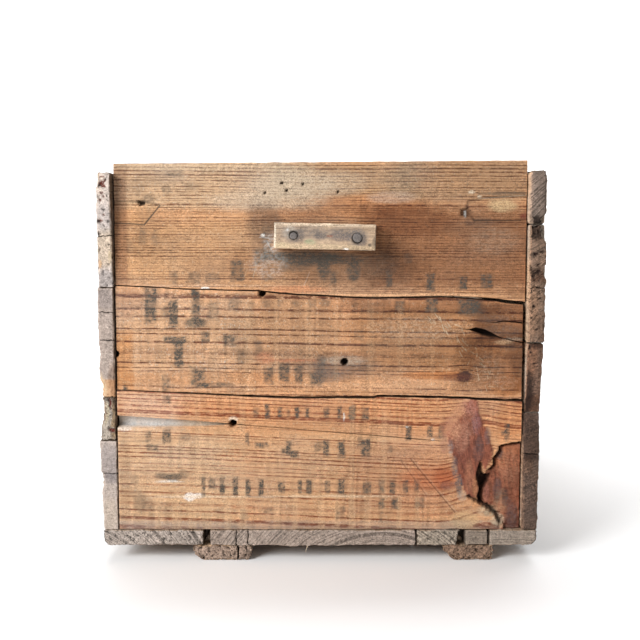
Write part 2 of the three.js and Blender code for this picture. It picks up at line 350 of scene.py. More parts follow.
        if fromEdge < 1e-3 and not atOuter:
            grime = max(grime, spec["edgeGrimeAndShade"])
        # this mask darkens cracks, splits, holes, pits and joints: dirt, and painted shade in these
        # recesses
        v[masks["grime"]] = grime
        v[masks["fresh"]] = fresh
        v[masks["knot"]] = knot
        v[masks["sawn"]] = 1 - smooth(fromEnd, 0, spec["sawnReach"] if atInner else 0.35)
        v[masks["outer"]] = 1.0 if atOuter else 0.0
        v[masks["edge"]] = 1 - smooth(sorted((fromEnd, fromEdge, fromFace))[1], 0, 2.6)
        v[paint] = (*spec["holeColour"], holeCover)
        v[tone] = (0.5, 0.5, 0.5, 1)
        if a - a0 < 1e-3 and holeCover == 0:
            v[paint] = paintAt(spec["endPaints"], b, c, seed)
            v[tone] = toneAt(spec["endTones"], b, c, seed)
        elif atOuter:
            v[paint] = paintAt(spec["paints"], aOut, bOut, seed)
            v[tone] = toneAt(spec["tones"], aOut, bOut, seed)
        # near the ends the inner face is tinted: darker is painted shade, lighter is painted highlight
        elif atInner and fromEnd < innerPaintedLightReach:
            v[tone] = [0.5 * part for part in spec["innerPaintedLight"]] + [1]
        turnedA = midA + (aOut - midA) * cosine + (bOut - midB) * sine
        turnedB = midB + (bOut - midB) * cosine - (aOut - midA) * sine
        v.co = (axes[0] * turnedA + axes[1] * turnedB + axes[2] * cOut) * mm

    bmesh.ops.recalc_face_normals(bm, faces=bm.faces)
    for face in bm.faces:
        face.smooth = True
    addPiece(bm, node + "_wood", material, [node])


def patchAmount(patch, a, b, seed):
    # how much of a soft, ragged patch lies at a place
    (x, z), (rx, rz) = patch["at"], patch["size"]
    soft = patch.get("soft", 0.6)
    reach = 1.3 + soft
    if abs(a - x) > rx * reach or abs(b - z) > rz * reach:
        return 0.0
    out = ((a - x) / rx) ** 2 + ((b - z) / rz) ** 2
    if patch.get("square"):
        out = max(abs(a - x) / rx, abs(b - z) / rz) ** 2
    out += patch.get("ragged", 0.3) * (ripple(a * 0.12, b * 0.22, x + seed)
                                       + 0.7 * ripple(a * 0.5, b * 0.8, x))
    amount = patch["strength"] * (1 - smooth(out, 1 - soft, 1 + soft))
    if amount > 0 and patch.get("patchy"):
        amount *= 1 - patch["patchy"] * smooth(ripple(a * 0.33, b * 0.5, z + seed), -0.3, 0.35)
    return amount


def paintAt(paints, a, b, seed):
    # all the cover at a place, laid over each other: its colour, and how much it covers
    colour, cover = Vector((0, 0, 0)), 0.0
    for patch in paints:
        amount = patchAmount(patch, a, b, seed)
        if amount > 0:
            total = amount + cover * (1 - amount)
            colour = (Vector(patch["colour"]) * amount + colour * cover * (1 - amount)) / total
            cover = total
    return (*colour, cover)


def toneAt(tones, a, b, seed):
    # half of what the wood's colour is multiplied by
    tone = [0.5, 0.5, 0.5]
    for patch in tones:
        amount = patchAmount(patch, a, b, seed)
        if amount > 0:
            tone = [part * (1 + (change - 1) * amount) for part, change in zip(tone, patch["tint"])]
    return (*tone, 1)


def addPiece(bm, name, material, nodes=()):
    mesh = bpy.data.meshes.new(name)
    bm.to_mesh(mesh)
    bm.free()
    mesh.materials.append(material)
    piece = bpy.data.objects.new(name, mesh)
    bpy.context.scene.collection.objects.link(piece)
    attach(piece, "root")
    if nodes:
        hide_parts(*nodes)


class Wire:
    # a socket that Python's operators join up with Math nodes
    def __init__(self, tree, socket=None):
        self.tree, self.socket = tree, socket

    def node(self, kind, settings=None, inputs=None, output=0):
        made = self.tree.nodes.new("ShaderNode" + kind)
        for key, value in (settings or {}).items():
            setattr(made, key, value)
        for key, value in (inputs or {}).items():
            if isinstance(value, Wire):
                self.tree.links.new(value.socket, made.inputs[key])
            else:
                made.inputs[key].default_value = value
        return Wire(self.tree, made.outputs[output])

    def math(self, operation, *others):
        return self.node("Math", {"operation": operation}, dict(enumerate((self, *others))))

    def __add__(self, other):
        return self.math("ADD", other)

    def __sub__(self, other):
        return self.math("SUBTRACT", other)

    def __mul__(self, other):
        return self.math("MULTIPLY", other)

    def __truediv__(self, other):
        return self.math("DIVIDE", other)

    def __rsub__(self, other):
        return (self * -1) + other

    __radd__, __rmul__ = __add__, __mul__

    def rise(self, low, high):
        # 0 below low, 1 above high, and a smooth step between them
        return self.node("MapRange", {"interpolation_type": "SMOOTHSTEP"}, {0: self, 1: low, 2: high})

    def mix(self, first, second):
        # this value is the factor
        values = (*first, 1) if isinstance(first, tuple) else first
        others = (*second, 1) if isinstance(second, tuple) else second
        return self.node("Mix", {"data_type": "RGBA"}, {0: self, 6: values, 7: others}, 2)

    def tinted(self, value):
        # this colour, made lighter or darker by a value
        grey = self.node("CombineColor", {}, {0: value, 1: value, 2: value})
        return self.node("Mix", {"data_type": "RGBA", "blend_type": "MULTIPLY"},
                         {0: 1.0, 6: self, 7: grey}, 2)


woodDefaults = {
    "grain": "xzy",               # which way the grain, the width and the thickness lie
    "early": (0.46, 0.25, 0.125), "late": (0.17, 0.052, 0.02),
    "greyWood": (0.33, 0.28, 0.235),
    "ring": 3.2,                  # mm between latewood lines
    "pith": (-60.0, 45.0),        # where the tree's middle lies, across and deep
    "slope": -0.02, "wander": 5.0, "tremble": 0.4,
    "lines": 0.95,                # strength of the latewood lines
    "uneven": 3.2,                # how much the rings' widths differ
    "broken": 0.6,                # how much the lines break up into dashes
    "streaks": 0.34,              # fine streaks along the grain
    "darkFlecks": 0.5, "paleFlecks": 0.3,
    "bands": 0.3, "bandLength": 11.0,   # the planer's marks across the grain
    "grey": 0.15, "dirt": 0.3, "shade": 1.0,
    "sawnGrey": 0.92, "sawnColour": (0.36, 0.31, 0.27), "pores": 1.0, "endLines": 0.75,
    "mottle": 1.2, "spots": 0.4,  # strength of the fine mottling, and of the small dark spots
    "lateFrom": 0.42,             # where in a ring the dark latewood starts
    "knots": (), "swells": (),    # (along, across, reach along, reach across, lift)
    "knotDark": (0.075, 0.022, 0.015), "knotLight": (0.29, 0.092, 0.05),
    "freshColour": (0.56, 0.30, 0.13),
    "scratches": (),              # (from, to, width, colour, strength)
    "rough": 0.82, "bump": 0.75, "bumpHeight": 0.0006,
    "seed": 0.0,
}


def makeWood(name, **changes):
    look = {**woodDefaults, **changes}
    material = bpy.data.materials.new(name)
    material.use_nodes = True
    tree = material.node_tree
    tree.nodes.clear()
    start = Wire(tree)
    place = start.node("TexCoord", output="Object")
    parts = {letter: start.node("SeparateXYZ", {}, {0: place}, index) * 1000.0
             for index, letter in enumerate("xyz")}
    along, across, deep = [parts[letter] for letter in look["grain"]]
    seed = look["seed"]

    def cloud(scaleAlong, scaleAcross, scaleDeep, detail=2.0, roughness=0.5, shift=0.0):
        spot = start.node("CombineXYZ", {}, {0: along * scaleAlong + (seed * 7.31 + shift),
                                             1: across * scaleAcross + shift,
                                             2: deep * scaleDeep + seed})
        return start.node("TexNoise", {}, {"Vector": spot, "Scale": 1.0, "Detail": detail,
                                           "Roughness": roughness})

    def mask(attribute):
        return start.node("Attribute", {"attribute_name": attribute}, output="Fac")

    # growth rings, bent by the tree's wander and round the knots
    wander = (cloud(0.006, 0.012, 0.012, 1.0, shift=3.0) - 0.5) * look["wander"] * 2
    wander = wander + (cloud(0.02, 0.05, 0.05, 2.0, shift=9.0) - 0.5) * (look["wander"] * 0.25)
    wander = wander + (cloud(0.12, 0.3, 0.3, 2.0, shift=12.0) - 0.5) * look["tremble"]
    level = across + along * look["slope"] + wander
    for knotAlong, knotAcross, reachAlong, reachAcross, lift in look["knots"]:
        offAlong = (along - knotAlong) / reachAlong
        offAcross = (across - knotAcross) / reachAcross
        bell = (offAlong * offAlong * -1.0).math("EXPONENT")
        level = level - bell * lift * offAcross.math("TANH") \
            * (offAcross * offAcross * -0.35).math("EXPONENT")
    for swellAlong, swellAcross, reachAlong, reachAcross, lift in look["swells"]:
        offAlong = (along - swellAlong) / reachAlong
        offAcross = (across - swellAcross) / reachAcross
        level = level - ((offAlong * offAlong + offAcross * offAcross) * -1.0).math("EXPONENT") * lift
    up, out = level - look["pith"][0], deep - look["pith"][1]
    radius = (up * up + out * out).math("SQRT")
    count = radius / look["ring"]
    uneven = start.node("TexNoise", {"noise_dimensions": "1D"},
                        {"W": count * 0.37 + seed, "Scale": 1.0, "Detail": 1.0})
    count = count + (uneven - 0.5) * look["uneven"]
    part = count.math("FRACT")
    whichRing = start.node("TexWhiteNoise", {"noise_dimensions": "1D"},
                           {"W": count.math("FLOOR") + seed * 3.7})
    fibre = cloud(0.035, 1.6, 1.6, 3.0, 0.6, shift=5.0)
    streak = cloud(0.018, 0.5, 0.5, 3.0, 0.65, shift=17.0)
    dash = cloud(0.16, 0.5, 0.5, 2.0, 0.6, shift=25.0)
    late = part.rise(look["lateFrom"], 0.86) * (1 - part.rise(0.91, 1.0))
    late = late * (0.25 + 0.85 * whichRing) * (0.5 + cloud(0.012, 0.05, 0.05, 2.0, shift=21.0))
    broken = 1 - look["broken"] + look["broken"] * 1.6 * dash.rise(0.36, 0.6)
    late = (late * broken * (0.6 + fibre * 0.8)).math("MINIMUM", 1.0)

    darkFleck = cloud(0.2, 1.9, 1.9, 2.0, 0.55, shift=14.0).rise(0.57, 0.70)
    paleFleck = cloud(0.85, 0.45, 0.45, 2.0, 0.6, shift=19.0).rise(0.58, 0.70)
    jitter = cloud(0.035, 0.004, 0.004, 2.0, 0.6, shift=31.0)
    wave = ((along / look["bandLength"] + jitter * 7.0) * (2 * math.pi)).math("SINE")
    band = wave * 0.5 * cloud(0.02, 0.02, 0.02, 2.0, shift=33.0).rise(0.3, 0.65)
    band = band + (cloud(0.3, 0.05, 0.05, 2.0, 0.6, shift=36.0) - 0.5) * 0.45
    blotch = cloud(0.011, 0.02, 0.02, 3.0, 0.6, shift=40.0)
    grit = cloud(0.9, 0.9, 0.9, 3.0, 0.7, shift=50.0)
    speck = cloud(0.75, 0.85, 0.85, 3.0, 0.7, shift=53.0)
    crumbs = cloud(0.42, 0.5, 0.5, 2.0, 0.65, shift=90.0)
    darkSpot = cloud(0.55, 0.75, 0.75, 2.0, 0.6, shift=97.0).rise(0.60, 0.74)

    sawn, grime, fresh, edge, knot = [mask(kind) for kind in ("sawn", "grime", "fresh", "edge", "knot")]
    faceOnly = 1 - sawn

    lineWork = (late * look["lines"] * (1 - sawn * 0.45)).math("MINIMUM", 1.0)
    colour = lineWork.mix(look["early"], look["late"])
    colour = colour.tinted(0.62 + fibre * 0.76)
    colour = colour.tinted(1 + (streak - 0.5) * (look["streaks"] * 2.6) * faceOnly)
    colour = (darkFleck * look["darkFlecks"] * (0.45 + late) * faceOnly).math("MINIMUM", 0.85).mix(
        colour, tuple(0.45 * part for part in look["late"]))
    colour = (paleFleck * look["paleFlecks"] * (1.1 - late) * faceOnly).math("MAXIMUM", 0.0).mix(
        colour, (0.60, 0.47, 0.34))
    # grey weathering in patches, and dirt rubbed into it
    greyed = (blotch.rise(0.42, 0.68) * 0.7 + grit.rise(0.5, 0.75) * 0.3) * look["grey"] * 1.6
    colour = greyed.math("MINIMUM", 0.9).mix(colour, look["greyWood"])
    # sawn ends are grey and full of open pores
    pores = cloud(0.3, 1.5, 1.5, 2.0, 0.7, shift=60.0)
    pits = cloud(0.2, 0.75, 0.75, 2.0, 0.6, shift=63.0).rise(0.56, 0.72)
    endColour = (late * look["endLines"]).mix(look["sawnColour"],
                                              tuple(0.38 * part for part in look["sawnColour"]))
    mottle = cloud(0.25, 0.33, 0.33, 3.0, 0.65, shift=66.0)
    endColour = endColour.tinted((0.5 + pores) * (0.4 + mottle * 1.2) * (0.72 + grit * 0.56))
    endColour = endColour.tinted(1 - pits * look["pores"] * 0.55)
    colour = (sawn * look["sawnGrey"]).mix(colour, endColour)
    # knots have a grain of their own, running up and down
    strands = start.node("TexNoise", {}, {"Vector": start.node("CombineXYZ", {}, {
        0: along * 0.62 + across * 0.12, 1: across * 0.05 - along * 0.02, 2: deep * 0.3}),
        "Scale": 1.0, "Detail": 5.0, "Roughness": 0.7})
    knotColour = strands.rise(0.22, 0.66).mix(look["knotDark"], look["knotLight"])
    knotColour = knotColour.tinted((0.6 + grit * 0.8)
                                   * (0.7 + cloud(0.1, 0.07, 0.1, 3.0, shift=80.0) * 0.6))
    colour = knot.mix(colour, knotColour)
    colour = (fresh * 0.85).mix(colour, look["freshColour"])
    colour = colour.tinted(1 + band * look["bands"] * faceOnly * (1 - knot))
    for (x0, z0), (x1, z1), width, markColour, strength in look["scratches"]:
        dx, dz = x1 - x0, z1 - z0
        length = dx * dx + dz * dz
        reach = ((along - x0) * (dx / length) + (across - z0) * (dz / length))
        reach = reach.math("MINIMUM", 1.0).math("MAXIMUM", 0.0)
        offX, offZ = along - x0 - reach * dx, across - z0 - reach * dz
        apart = (offX * offX + offZ * offZ).math("SQRT") + (grit - 0.5) * width
        mark = (1 - apart.rise(width * 0.4, width * 1.1)) * mask("outer") * strength
        colour = mark.mix(colour, markColour)
    tone = start.node("Attribute", {"attribute_name": "tone"}, output="Color")
    tone = start.node("Mix", {"data_type": "RGBA", "blend_type": "MULTIPLY", "clamp_result": False},
                      {0: 1.0, 6: tone, 7: (2.0, 2.0, 2.0, 1)}, 2)
    colour = start.node("Mix", {"data_type": "RGBA", "blend_type": "MULTIPLY"},
                        {0: 1.0, 6: colour, 7: tone}, 2)
    stain = start.node("Attribute", {"attribute_name": "paint"}, output="Color")
    cover = start.node("Attribute", {"attribute_name": "paint"}, output="Alpha")
    cover = (cover * (0.3 + fibre * 0.6 + speck.rise(0.36, 0.62) * 0.9)).math("MINIMUM", 1.0)
    colour = cover.mix(colour, stain)
    dirt = (cloud(0.05, 0.09, 0.09, 4.0, 0.68, shift=70.0).rise(0.52, 0.78)) * look["dirt"]
    colour = colour.tinted((1 - dirt * 0.6) * look["shade"] * (1 + edge * 0.16))
    patches = cloud(0.035, 0.06, 0.06, 2.0, 0.6, shift=101.0).rise(0.35, 0.65) * 0.9 + 0.45
    mottling = 1 + ((speck - 0.5) + (crumbs - 0.5) * 0.6) * look["mottle"] * patches
    colour = colour.tinted(mottling * (1 - darkSpot * look["spots"] * (1 - knot * 0.5)))
    # darker in cracks, holes, pits and joints: dirt, and painted shade in these recesses
    colour = colour.tinted(1 - grime * 0.88)

    height = late * 0.5 + fibre * 0.35 - darkFleck * 0.3 + band * 0.2 \
        + (grit - 0.5) * 0.3 * (1 + sawn * 2) - pits * sawn * 0.8 + crumbs * (0.3 + sawn * 1.2)
    normal = start.node("Bump", {}, {"Strength": look["bump"], "Distance": look["bumpHeight"],
                                         "Height": height})
    roughness = look["rough"] + (fibre - 0.5) * 0.15 + grime * 0.1
    shader = start.node("BsdfPrincipled", {}, {"Base Color": colour, "Roughness": roughness,
                                               "Normal": normal, "Specular IOR Level": 0.3})
    output = tree.nodes.new("ShaderNodeOutputMaterial")
    tree.links.new(shader.socket, output.inputs["Surface"])
    return material


def makeRust(name, dark=(0.035, 0.022, 0.016), light=(0.16, 0.075, 0.04), shine=0.6):
    material = bpy.data.materials.new(name)
    material.use_nodes = True
    tree = material.node_tree
    tree.nodes.clear()
    start = Wire(tree)
    place = start.node("TexCoord", output="Object")
    spots = start.node("TexNoise", {},
                       {"Vector": place, "Scale": 900.0, "Detail": 4.0, "Roughness": 0.65})
    scale = start.node("TexNoise", {}, {"Vector": place, "Scale": 2600.0, "Detail": 2.0})
    colour = spots.rise(0.35, 0.7).mix(dark, light)
    colour = (scale.rise(0.55, 0.75) * 0.5).mix(colour, (0.19, 0.17, 0.16))
    normal = start.node("Bump", {},
                        {"Strength": 0.5, "Distance": 0.0003, "Height": spots + scale * 0.5})
    shader = start.node("BsdfPrincipled", {}, {
        "Base Color": colour, "Roughness": 0.45 + spots * 0.4,
        "Metallic": shine - spots.rise(0.4, 0.7) * (shine * 0.8), "Normal": normal})
    output = tree.nodes.new("ShaderNodeOutputMaterial")
    tree.links.new(shader.socket, output.inputs["Surface"])
    return material


def outlineDent(outline, **more):
    reach = more["soft"] * 2 + 2.5
    xs, zs = [x for x, _ in outline], [z for _, z in outline]
    around = ((min(xs) - reach, min(zs) - reach), (max(xs) + reach, max(zs) + reach))
    return {"outline": outline, "around": around, **more}


def roundDent(at, radius, **more):
    ring = [(at[0] + radius * math.cos(t * math.pi / 6), at[1] + radius * math.sin(t * math.pi / 6))
            for t in range(12)]
    return outlineDent(ring, **more)


def oldNailHole(at, radius=2.4, depth=12.0):
    return roundDent(at, radius, depth=depth, soft=0.45, mask="grime")


def offsetLine(line, by):
    return [(x, z + by(x)) for x, z in line]


def blot(x, z, rx, rz, colour, strength, **more):
    return {"at": (x, z), "size": (rx, rz), "colour": colour, "strength": strength, **more}


def tint(x, z, rx, rz, colour, strength=1.0, **more):
    return {"at": (x, z), "size": (rx, rz), "tint": colour, "strength": strength, **more}


ink = (0.062, 0.054, 0.044)
pale = (0.60, 0.49, 0.36)
looseFibre = (0.66, 0.55, 0.41)
bright = (0.74, 0.71, 0.66)


def inkBar(x0, x1, z0, z1, strength=0.6, **more):
    # one faded upright smudge
    return blot((x0 + x1) / 2, (z0 + z1) / 2, (x1 - x0) / 2, (z1 - z0) / 2, ink,
                min(0.98, strength * 1.6),
                square=True, **{"soft": 0.45, "ragged": 0.55, "patchy": 0.55, **more})


def inkBars(x0, x1, z0, z1, pitch, strength, seed, share=0.25):
    # a row of them, uneven and broken
    bars, x, i = [], x0, 0
    while x < x1:
        jitter = ripple(i * 1.37, seed, 0.5)
        half = pitch * (share + 0.1 * jitter)
        tall = (z1 - z0) / 2 * (0.85 + 0.25 * ripple(i * 2.1, seed, 4.5))
        middle = (z0 + z1) / 2 + jitter * 1.5
        if ripple(i * 0.93, seed, 9.5) > -0.3:
            bars.append(inkBar(x - half, x + half, middle - tall, middle + tall,
                               strength * (0.8 + 0.5 * jitter)))
        x += pitch * (1 + 0.35 * ripple(i * 1.9, seed, 2.5))
        i += 1
    return bars


def paleBands(places, z, rz, strength):
    # upright strips that the planer left paler
    return [blot(x, z, width, rz, (0.60, 0.40, 0.23), strength, square=True, soft=0.5, ragged=0.3)
            for x, width in places]


# Nails: the CAD's own, and the heads that only show. Each has its head's place and direction.
nailShape = {"head": 3.6, "shank": 1.5, "sunk": 0.4, "steps": 28, "bend": 0.06, "hammered": 0.16}
nails = []
for name in sorted(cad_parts):
    if "nail" in name:
        low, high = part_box(name)
        size, middle = high - low, (low + high) / 2
        way = xAxis if name.startswith("side") else yAxis
        facing = way if middle.dot(way) > 0 else -way
        head = middle + facing * (size.dot(way) / 2 + nailShape["sunk"] * mm)
        nails.append({"name": name + "_steel", "nodes": [name], "head": head / mm, "facing": facing,
                      "length": size.dot(way) / mm, "wide": 0.85 if "left" in name else 1.03})
extraNails = {
    "bottom_nail": [(x, y + (2.5 if i % 2 else -1.5), 13.8, -zAxis) for i, x in enumerate(
        (-171, -128, -78, -14, 47, 104, 137, 170)) for y in (-224.5, 224.0)],
    "runner_nail": [(x, y, 0.0, -zAxis) for x, ys in (
        (-84, (-226, -112, 8, 118, 225)), (134, (-224, -96, 14, 122, 226))) for y in ys],
}
for kind, places in extraNails.items():
    for i, (x, y, z, facing) in enumerate(places):
        nails.append({"name": f"{kind}_{i + 1}", "nodes": [], "head": Vector((x, y, z)),
                      "facing": facing, "length": 11.0 if kind == "bottom_nail" else 24.0, "wide": 1.0})


def makeNail(nail, seed, material):
    # turned about its own axis, then bent and hammered
    length, flat = nail["length"], 0.35 if nail["nodes"] else 0.1
    radius = nailShape["head"] * (1 + 0.08 * ripple(seed * 1.7, 0.3)) * nail["wide"]
    profile = [(0.0, 0.0), (radius * 0.45, 0.02), (radius * 0.8, -0.05), (radius * 0.95, -0.2),
               (radius, -0.5), (radius * 0.97, -0.85), (radius * 0.8, -1.15), (1.9, -1.35),
               (nailShape["shank"], -2.4), (nailShape["shank"], 4 - length), (0.7, 2 - length),
               (0.0, -length)]
    bm = bmesh.new()
    verts = [bm.verts.new((r, 0, h)) for r, h in profile]
    edges = [bm.edges.new(pair) for pair in zip(verts, verts[1:])]
    bmesh.ops.spin(bm, geom=verts + edges, cent=(0, 0, 0), axis=(0, 0, 1), angle=2 * math.pi,
                   steps=nailShape["steps"], use_merge=True)
    bmesh.ops.remove_doubles(bm, verts=bm.verts, dist=0.002)
    facing = nail["facing"]
    side = xAxis if abs(facing.x) < 0.5 else yAxis
    other = facing.cross(side)
    lean = Vector((ripple(seed, 2.2), ripple(seed, 4.1))) * nailShape["bend"]
    for v in bm.verts:
        x, y, h = v.co
        dent = nailShape["hammered"] * ripple(x * 0.5 + seed * 3, y * 0.5) if h > -1.2 else 0.0
        swell = 1 + 0.05 * ripple(x * 0.35, y * 0.35, seed * 5)
        rise = h + flat + dent + (lean.x * x + lean.y * y if h > -1.5 else 0)
        v.co = (nail["head"] + side * (x * swell) + other * (y * swell) + facing * rise) * mm
    bmesh.ops.recalc_face_normals(bm, faces=bm.faces)
    for face in bm.faces:
        face.smooth = True
    addPiece(bm, nail["name"], material, nail["nodes"])


print("front boards")
# The front joints, as the CAD boards have them, with the small steps that the wood shows.
upperJoint = [(-178, 243.4), (-145, 241.9), (-116, 240.2), (-95, 239.9), (-75, 239.2), (-53, 238.8),
              (-36, 236.8), (-20, 235.6), (0, 234.8), (22, 233.4), (40, 232.8), (66, 232.9),
              (106, 233.8),
              (132, 232.6), (153, 230.8), (166, 229.0), (178.5, 227.8)]
lowerJoint = [(-178, 151.8), (-150, 150.8), (-116, 149.3), (-81, 147.7), (-52, 146.3), (-23, 145.4),
              (20, 145.6), (48, 145.5), (49.5, 146.7), (75, 146.4), (96, 145.8), (124, 145.2),
              (147, 143.6),
              (178.5, 142.7)]
lowerGap = [(-178, 0.2), (-140, 0.4), (-100, 1.0), (-20, 1.5), (178, 1.6)]
upperGap = [(-178, 0.8), (-60, 0.8), (-40, 1.2), (110, 1.6), (150, 2.2), (172, 3.2), (178, 2.6)]
frontTop = {
    "seed": 1, "wear": 1.0, "edgeGrimeAndShade": 0.85, "step": (1.25, 1.15, 3.0),
    "low": offsetLine(upperJoint, lambda x: onLine(upperGap, x) / 2),
    "high": [(-178, 347.8), (178.5, 350.6)],
    "dents": [
        outlineDent([(-182, 315.8), (-152, 315.3), (-137.7, 312), (-151.5, 295.6), (-182, 297.2)],
                    depth=0.9, soft=0.5, rim=0.5, mask="fresh", strength=0.3),
        outlineDent([(-157, 316.5), (-150, 315.8), (-151, 313), (-155, 312.2)], depth=4, soft=0.5,
                    mask="grime"),
        outlineDent([(127, 316), (141, 318.5), (154, 319.5), (182, 320.8), (182, 300), (133, 299),
                     (126, 307)], depth=0.9, soft=0.5, rim=0.45),
        outlineDent([(121, 309), (127, 310.5), (131, 306), (127, 302), (121.5, 304)], depth=2.5,
                    soft=0.8, mask="grime", strength=0.55),
    ] + [roundDent(at, 0.95, depth=5, soft=0.35, mask="grime") for at in (
        (-47.2, 322.8), (-32.6, 331.3), (-28.7, 324.9), (-14.6, 330.5), (15.4, 323.7))],
    "tones": [
        tint(-105, 330, 95, 20, (0.95, 1.16, 1.38), square=True, soft=0.5),
        tint(-110, 272, 75, 26, (0.92, 0.96, 0.95), square=True, soft=0.6),
        tint(-145, 285, 22, 22, (0.86, 0.86, 0.86), soft=0.8),
        tint(-85, 258, 30, 12, (0.9, 0.86, 0.84), soft=0.8),
        tint(-20, 300, 30, 8, (0.84, 0.8, 0.78), soft=0.8),
        tint(20, 333, 62, 14, (0.84, 0.93, 0.97), square=True, soft=0.5),
        tint(135, 333, 70, 17, (0.73, 0.79, 0.84), square=True, soft=0.5),
        tint(25, 312, 62, 11, (0.90, 0.78, 0.68), soft=0.7),
        tint(125, 275, 85, 36, (0.52, 0.44, 0.40), square=True, soft=0.5),
        tint(20, 262, 66, 20, (0.52, 0.49, 0.47), soft=0.7), tint(75, 300, 40, 14, (0.75, 0.66, 0.60)),
        tint(-49, 298, 14, 22, (0.52, 0.53, 0.58), soft=0.8),
        tint(-60, 262, 20, 14, (0.80, 0.76, 0.74), soft=0.8),
        # painted shadow of the left side board's proud end, along this board's left edge
        tint(-173, 292, 7, 54, (0.66, 0.60, 0.60), square=True, soft=0.6),
    ],
    "paints": [
        blot(-24, 327, 34, 17, (0.50, 0.39, 0.28), 0.55, soft=0.8),
        blot(18, 331, 20, 10, (0.46, 0.37, 0.27), 0.35, soft=0.8),
        blot(-70, 316, 26, 8, (0.50, 0.38, 0.27), 0.40, soft=0.8),
        blot(-110, 345, 70, 3.5, (0.55, 0.42, 0.28), 0.35, soft=0.6),
        blot(62, 319, 20, 5, (0.50, 0.36, 0.27), 0.4, soft=0.8),
        blot(-125, 339, 9, 3, ink, 0.45, patchy=0.6), blot(-93, 340, 9, 2.5, ink, 0.25, patchy=0.6),
        blot(-110, 328, 6, 3.5, ink, 0.3, patchy=0.6), blot(-132, 326, 4, 4, ink, 0.4, patchy=0.6),
        blot(-148, 318, 5, 4, ink, 0.45, patchy=0.5), blot(-158, 327, 8, 7, ink, 0.25, patchy=0.7),
        blot(-140, 335, 20, 6, ink, 0.18, patchy=0.5), blot(-38, 269, 14, 4, ink, 0.85, patchy=0.35),
        blot(-10, 267, 26, 6, ink, 0.9, patchy=0.35, soft=0.8),
        blot(16, 266, 24, 5, ink, 0.7, patchy=0.45), blot(3, 260, 6, 11, ink, 0.8, patchy=0.4),
        blot(29, 256, 6, 9, ink, 0.75, patchy=0.4), blot(-22, 261, 14, 6, ink, 0.5, patchy=0.5),
        blot(52, 262, 16, 10, ink, 0.3, patchy=0.6), blot(-46, 284, 5, 12, ink, 0.45, patchy=0.5),
        blot(-35, 290, 6, 10, ink, 0.35, patchy=0.5), blot(-150, 304, 7, 5, ink, 0.22, patchy=0.6),
        inkBar(-156, -150, 279, 293, 0.28), inkBar(-145, -140, 277, 291, 0.2),
        inkBar(-166, -161, 270, 284, 0.18), inkBar(-130, -123, 244, 256, 0.28),
        inkBar(-115, -104, 245, 255, 0.3), inkBar(-99, -87, 246, 254, 0.25),
        inkBar(-77, -66, 247, 264, 0.45), inkBar(-57, -46, 262, 275, 0.35),
        inkBar(-50, -42, 246, 256, 0.2), inkBar(8, 14, 244, 256, 0.4),
        inkBar(57, 63, 241, 256, 0.4), inkBar(92, 99, 239, 253, 0.55), inkBar(121, 127, 240, 251, 0.55),
        inkBar(139, 149, 241, 253, 0.5), inkBar(72, 80, 262, 271, 0.2),
        blot(136, 298, 14, 4, ink, 0.3, patchy=0.4), blot(158, 322.5, 22, 1.3, ink, 0.5, soft=0.4),
        blot(157, 312, 12, 5.5, (0.52, 0.37, 0.20), 0.6, soft=0.7), blot(130, 323.5, 3, 1.6, pale, 0.7),
        blot(125, 305, 1.4, 3, bright, 0.7), blot(137, 320, 2, 1, pale, 0.6),
        blot(75, 235.2, 80, 1.3, (0.58, 0.33, 0.18), 0.75, soft=0.4, ragged=0.2),
        blot(-100, 243.2, 60, 1.2, (0.56, 0.40, 0.28), 0.35, soft=0.4, patchy=0.7),
        blot(-20, 240, 26, 3, (0.50, 0.20, 0.09), 0.45), blot(-49.5, 286.5, 1.7, 1.4, bright, 0.95),
        blot(-99.5, 241, 3.2, 1.1, bright, 0.9, ragged=0.6),
        blot(-32.5, 290.5, 1, 1, bright, 0.7), blot(172, 237, 8, 5, (0.20, 0.10, 0.05), 0.4),
        blot(150, 282, 22, 12, pale, 0.10, patchy=0.8), blot(176, 303, 4, 3, (0.12, 0.02, 0.015), 0.6),
        blot(-45, 262, 16, 12, bright, 0.16, patchy=0.9),
        blot(-41, 281, 8, 8, bright, 0.25, patchy=0.9),
    ],
}
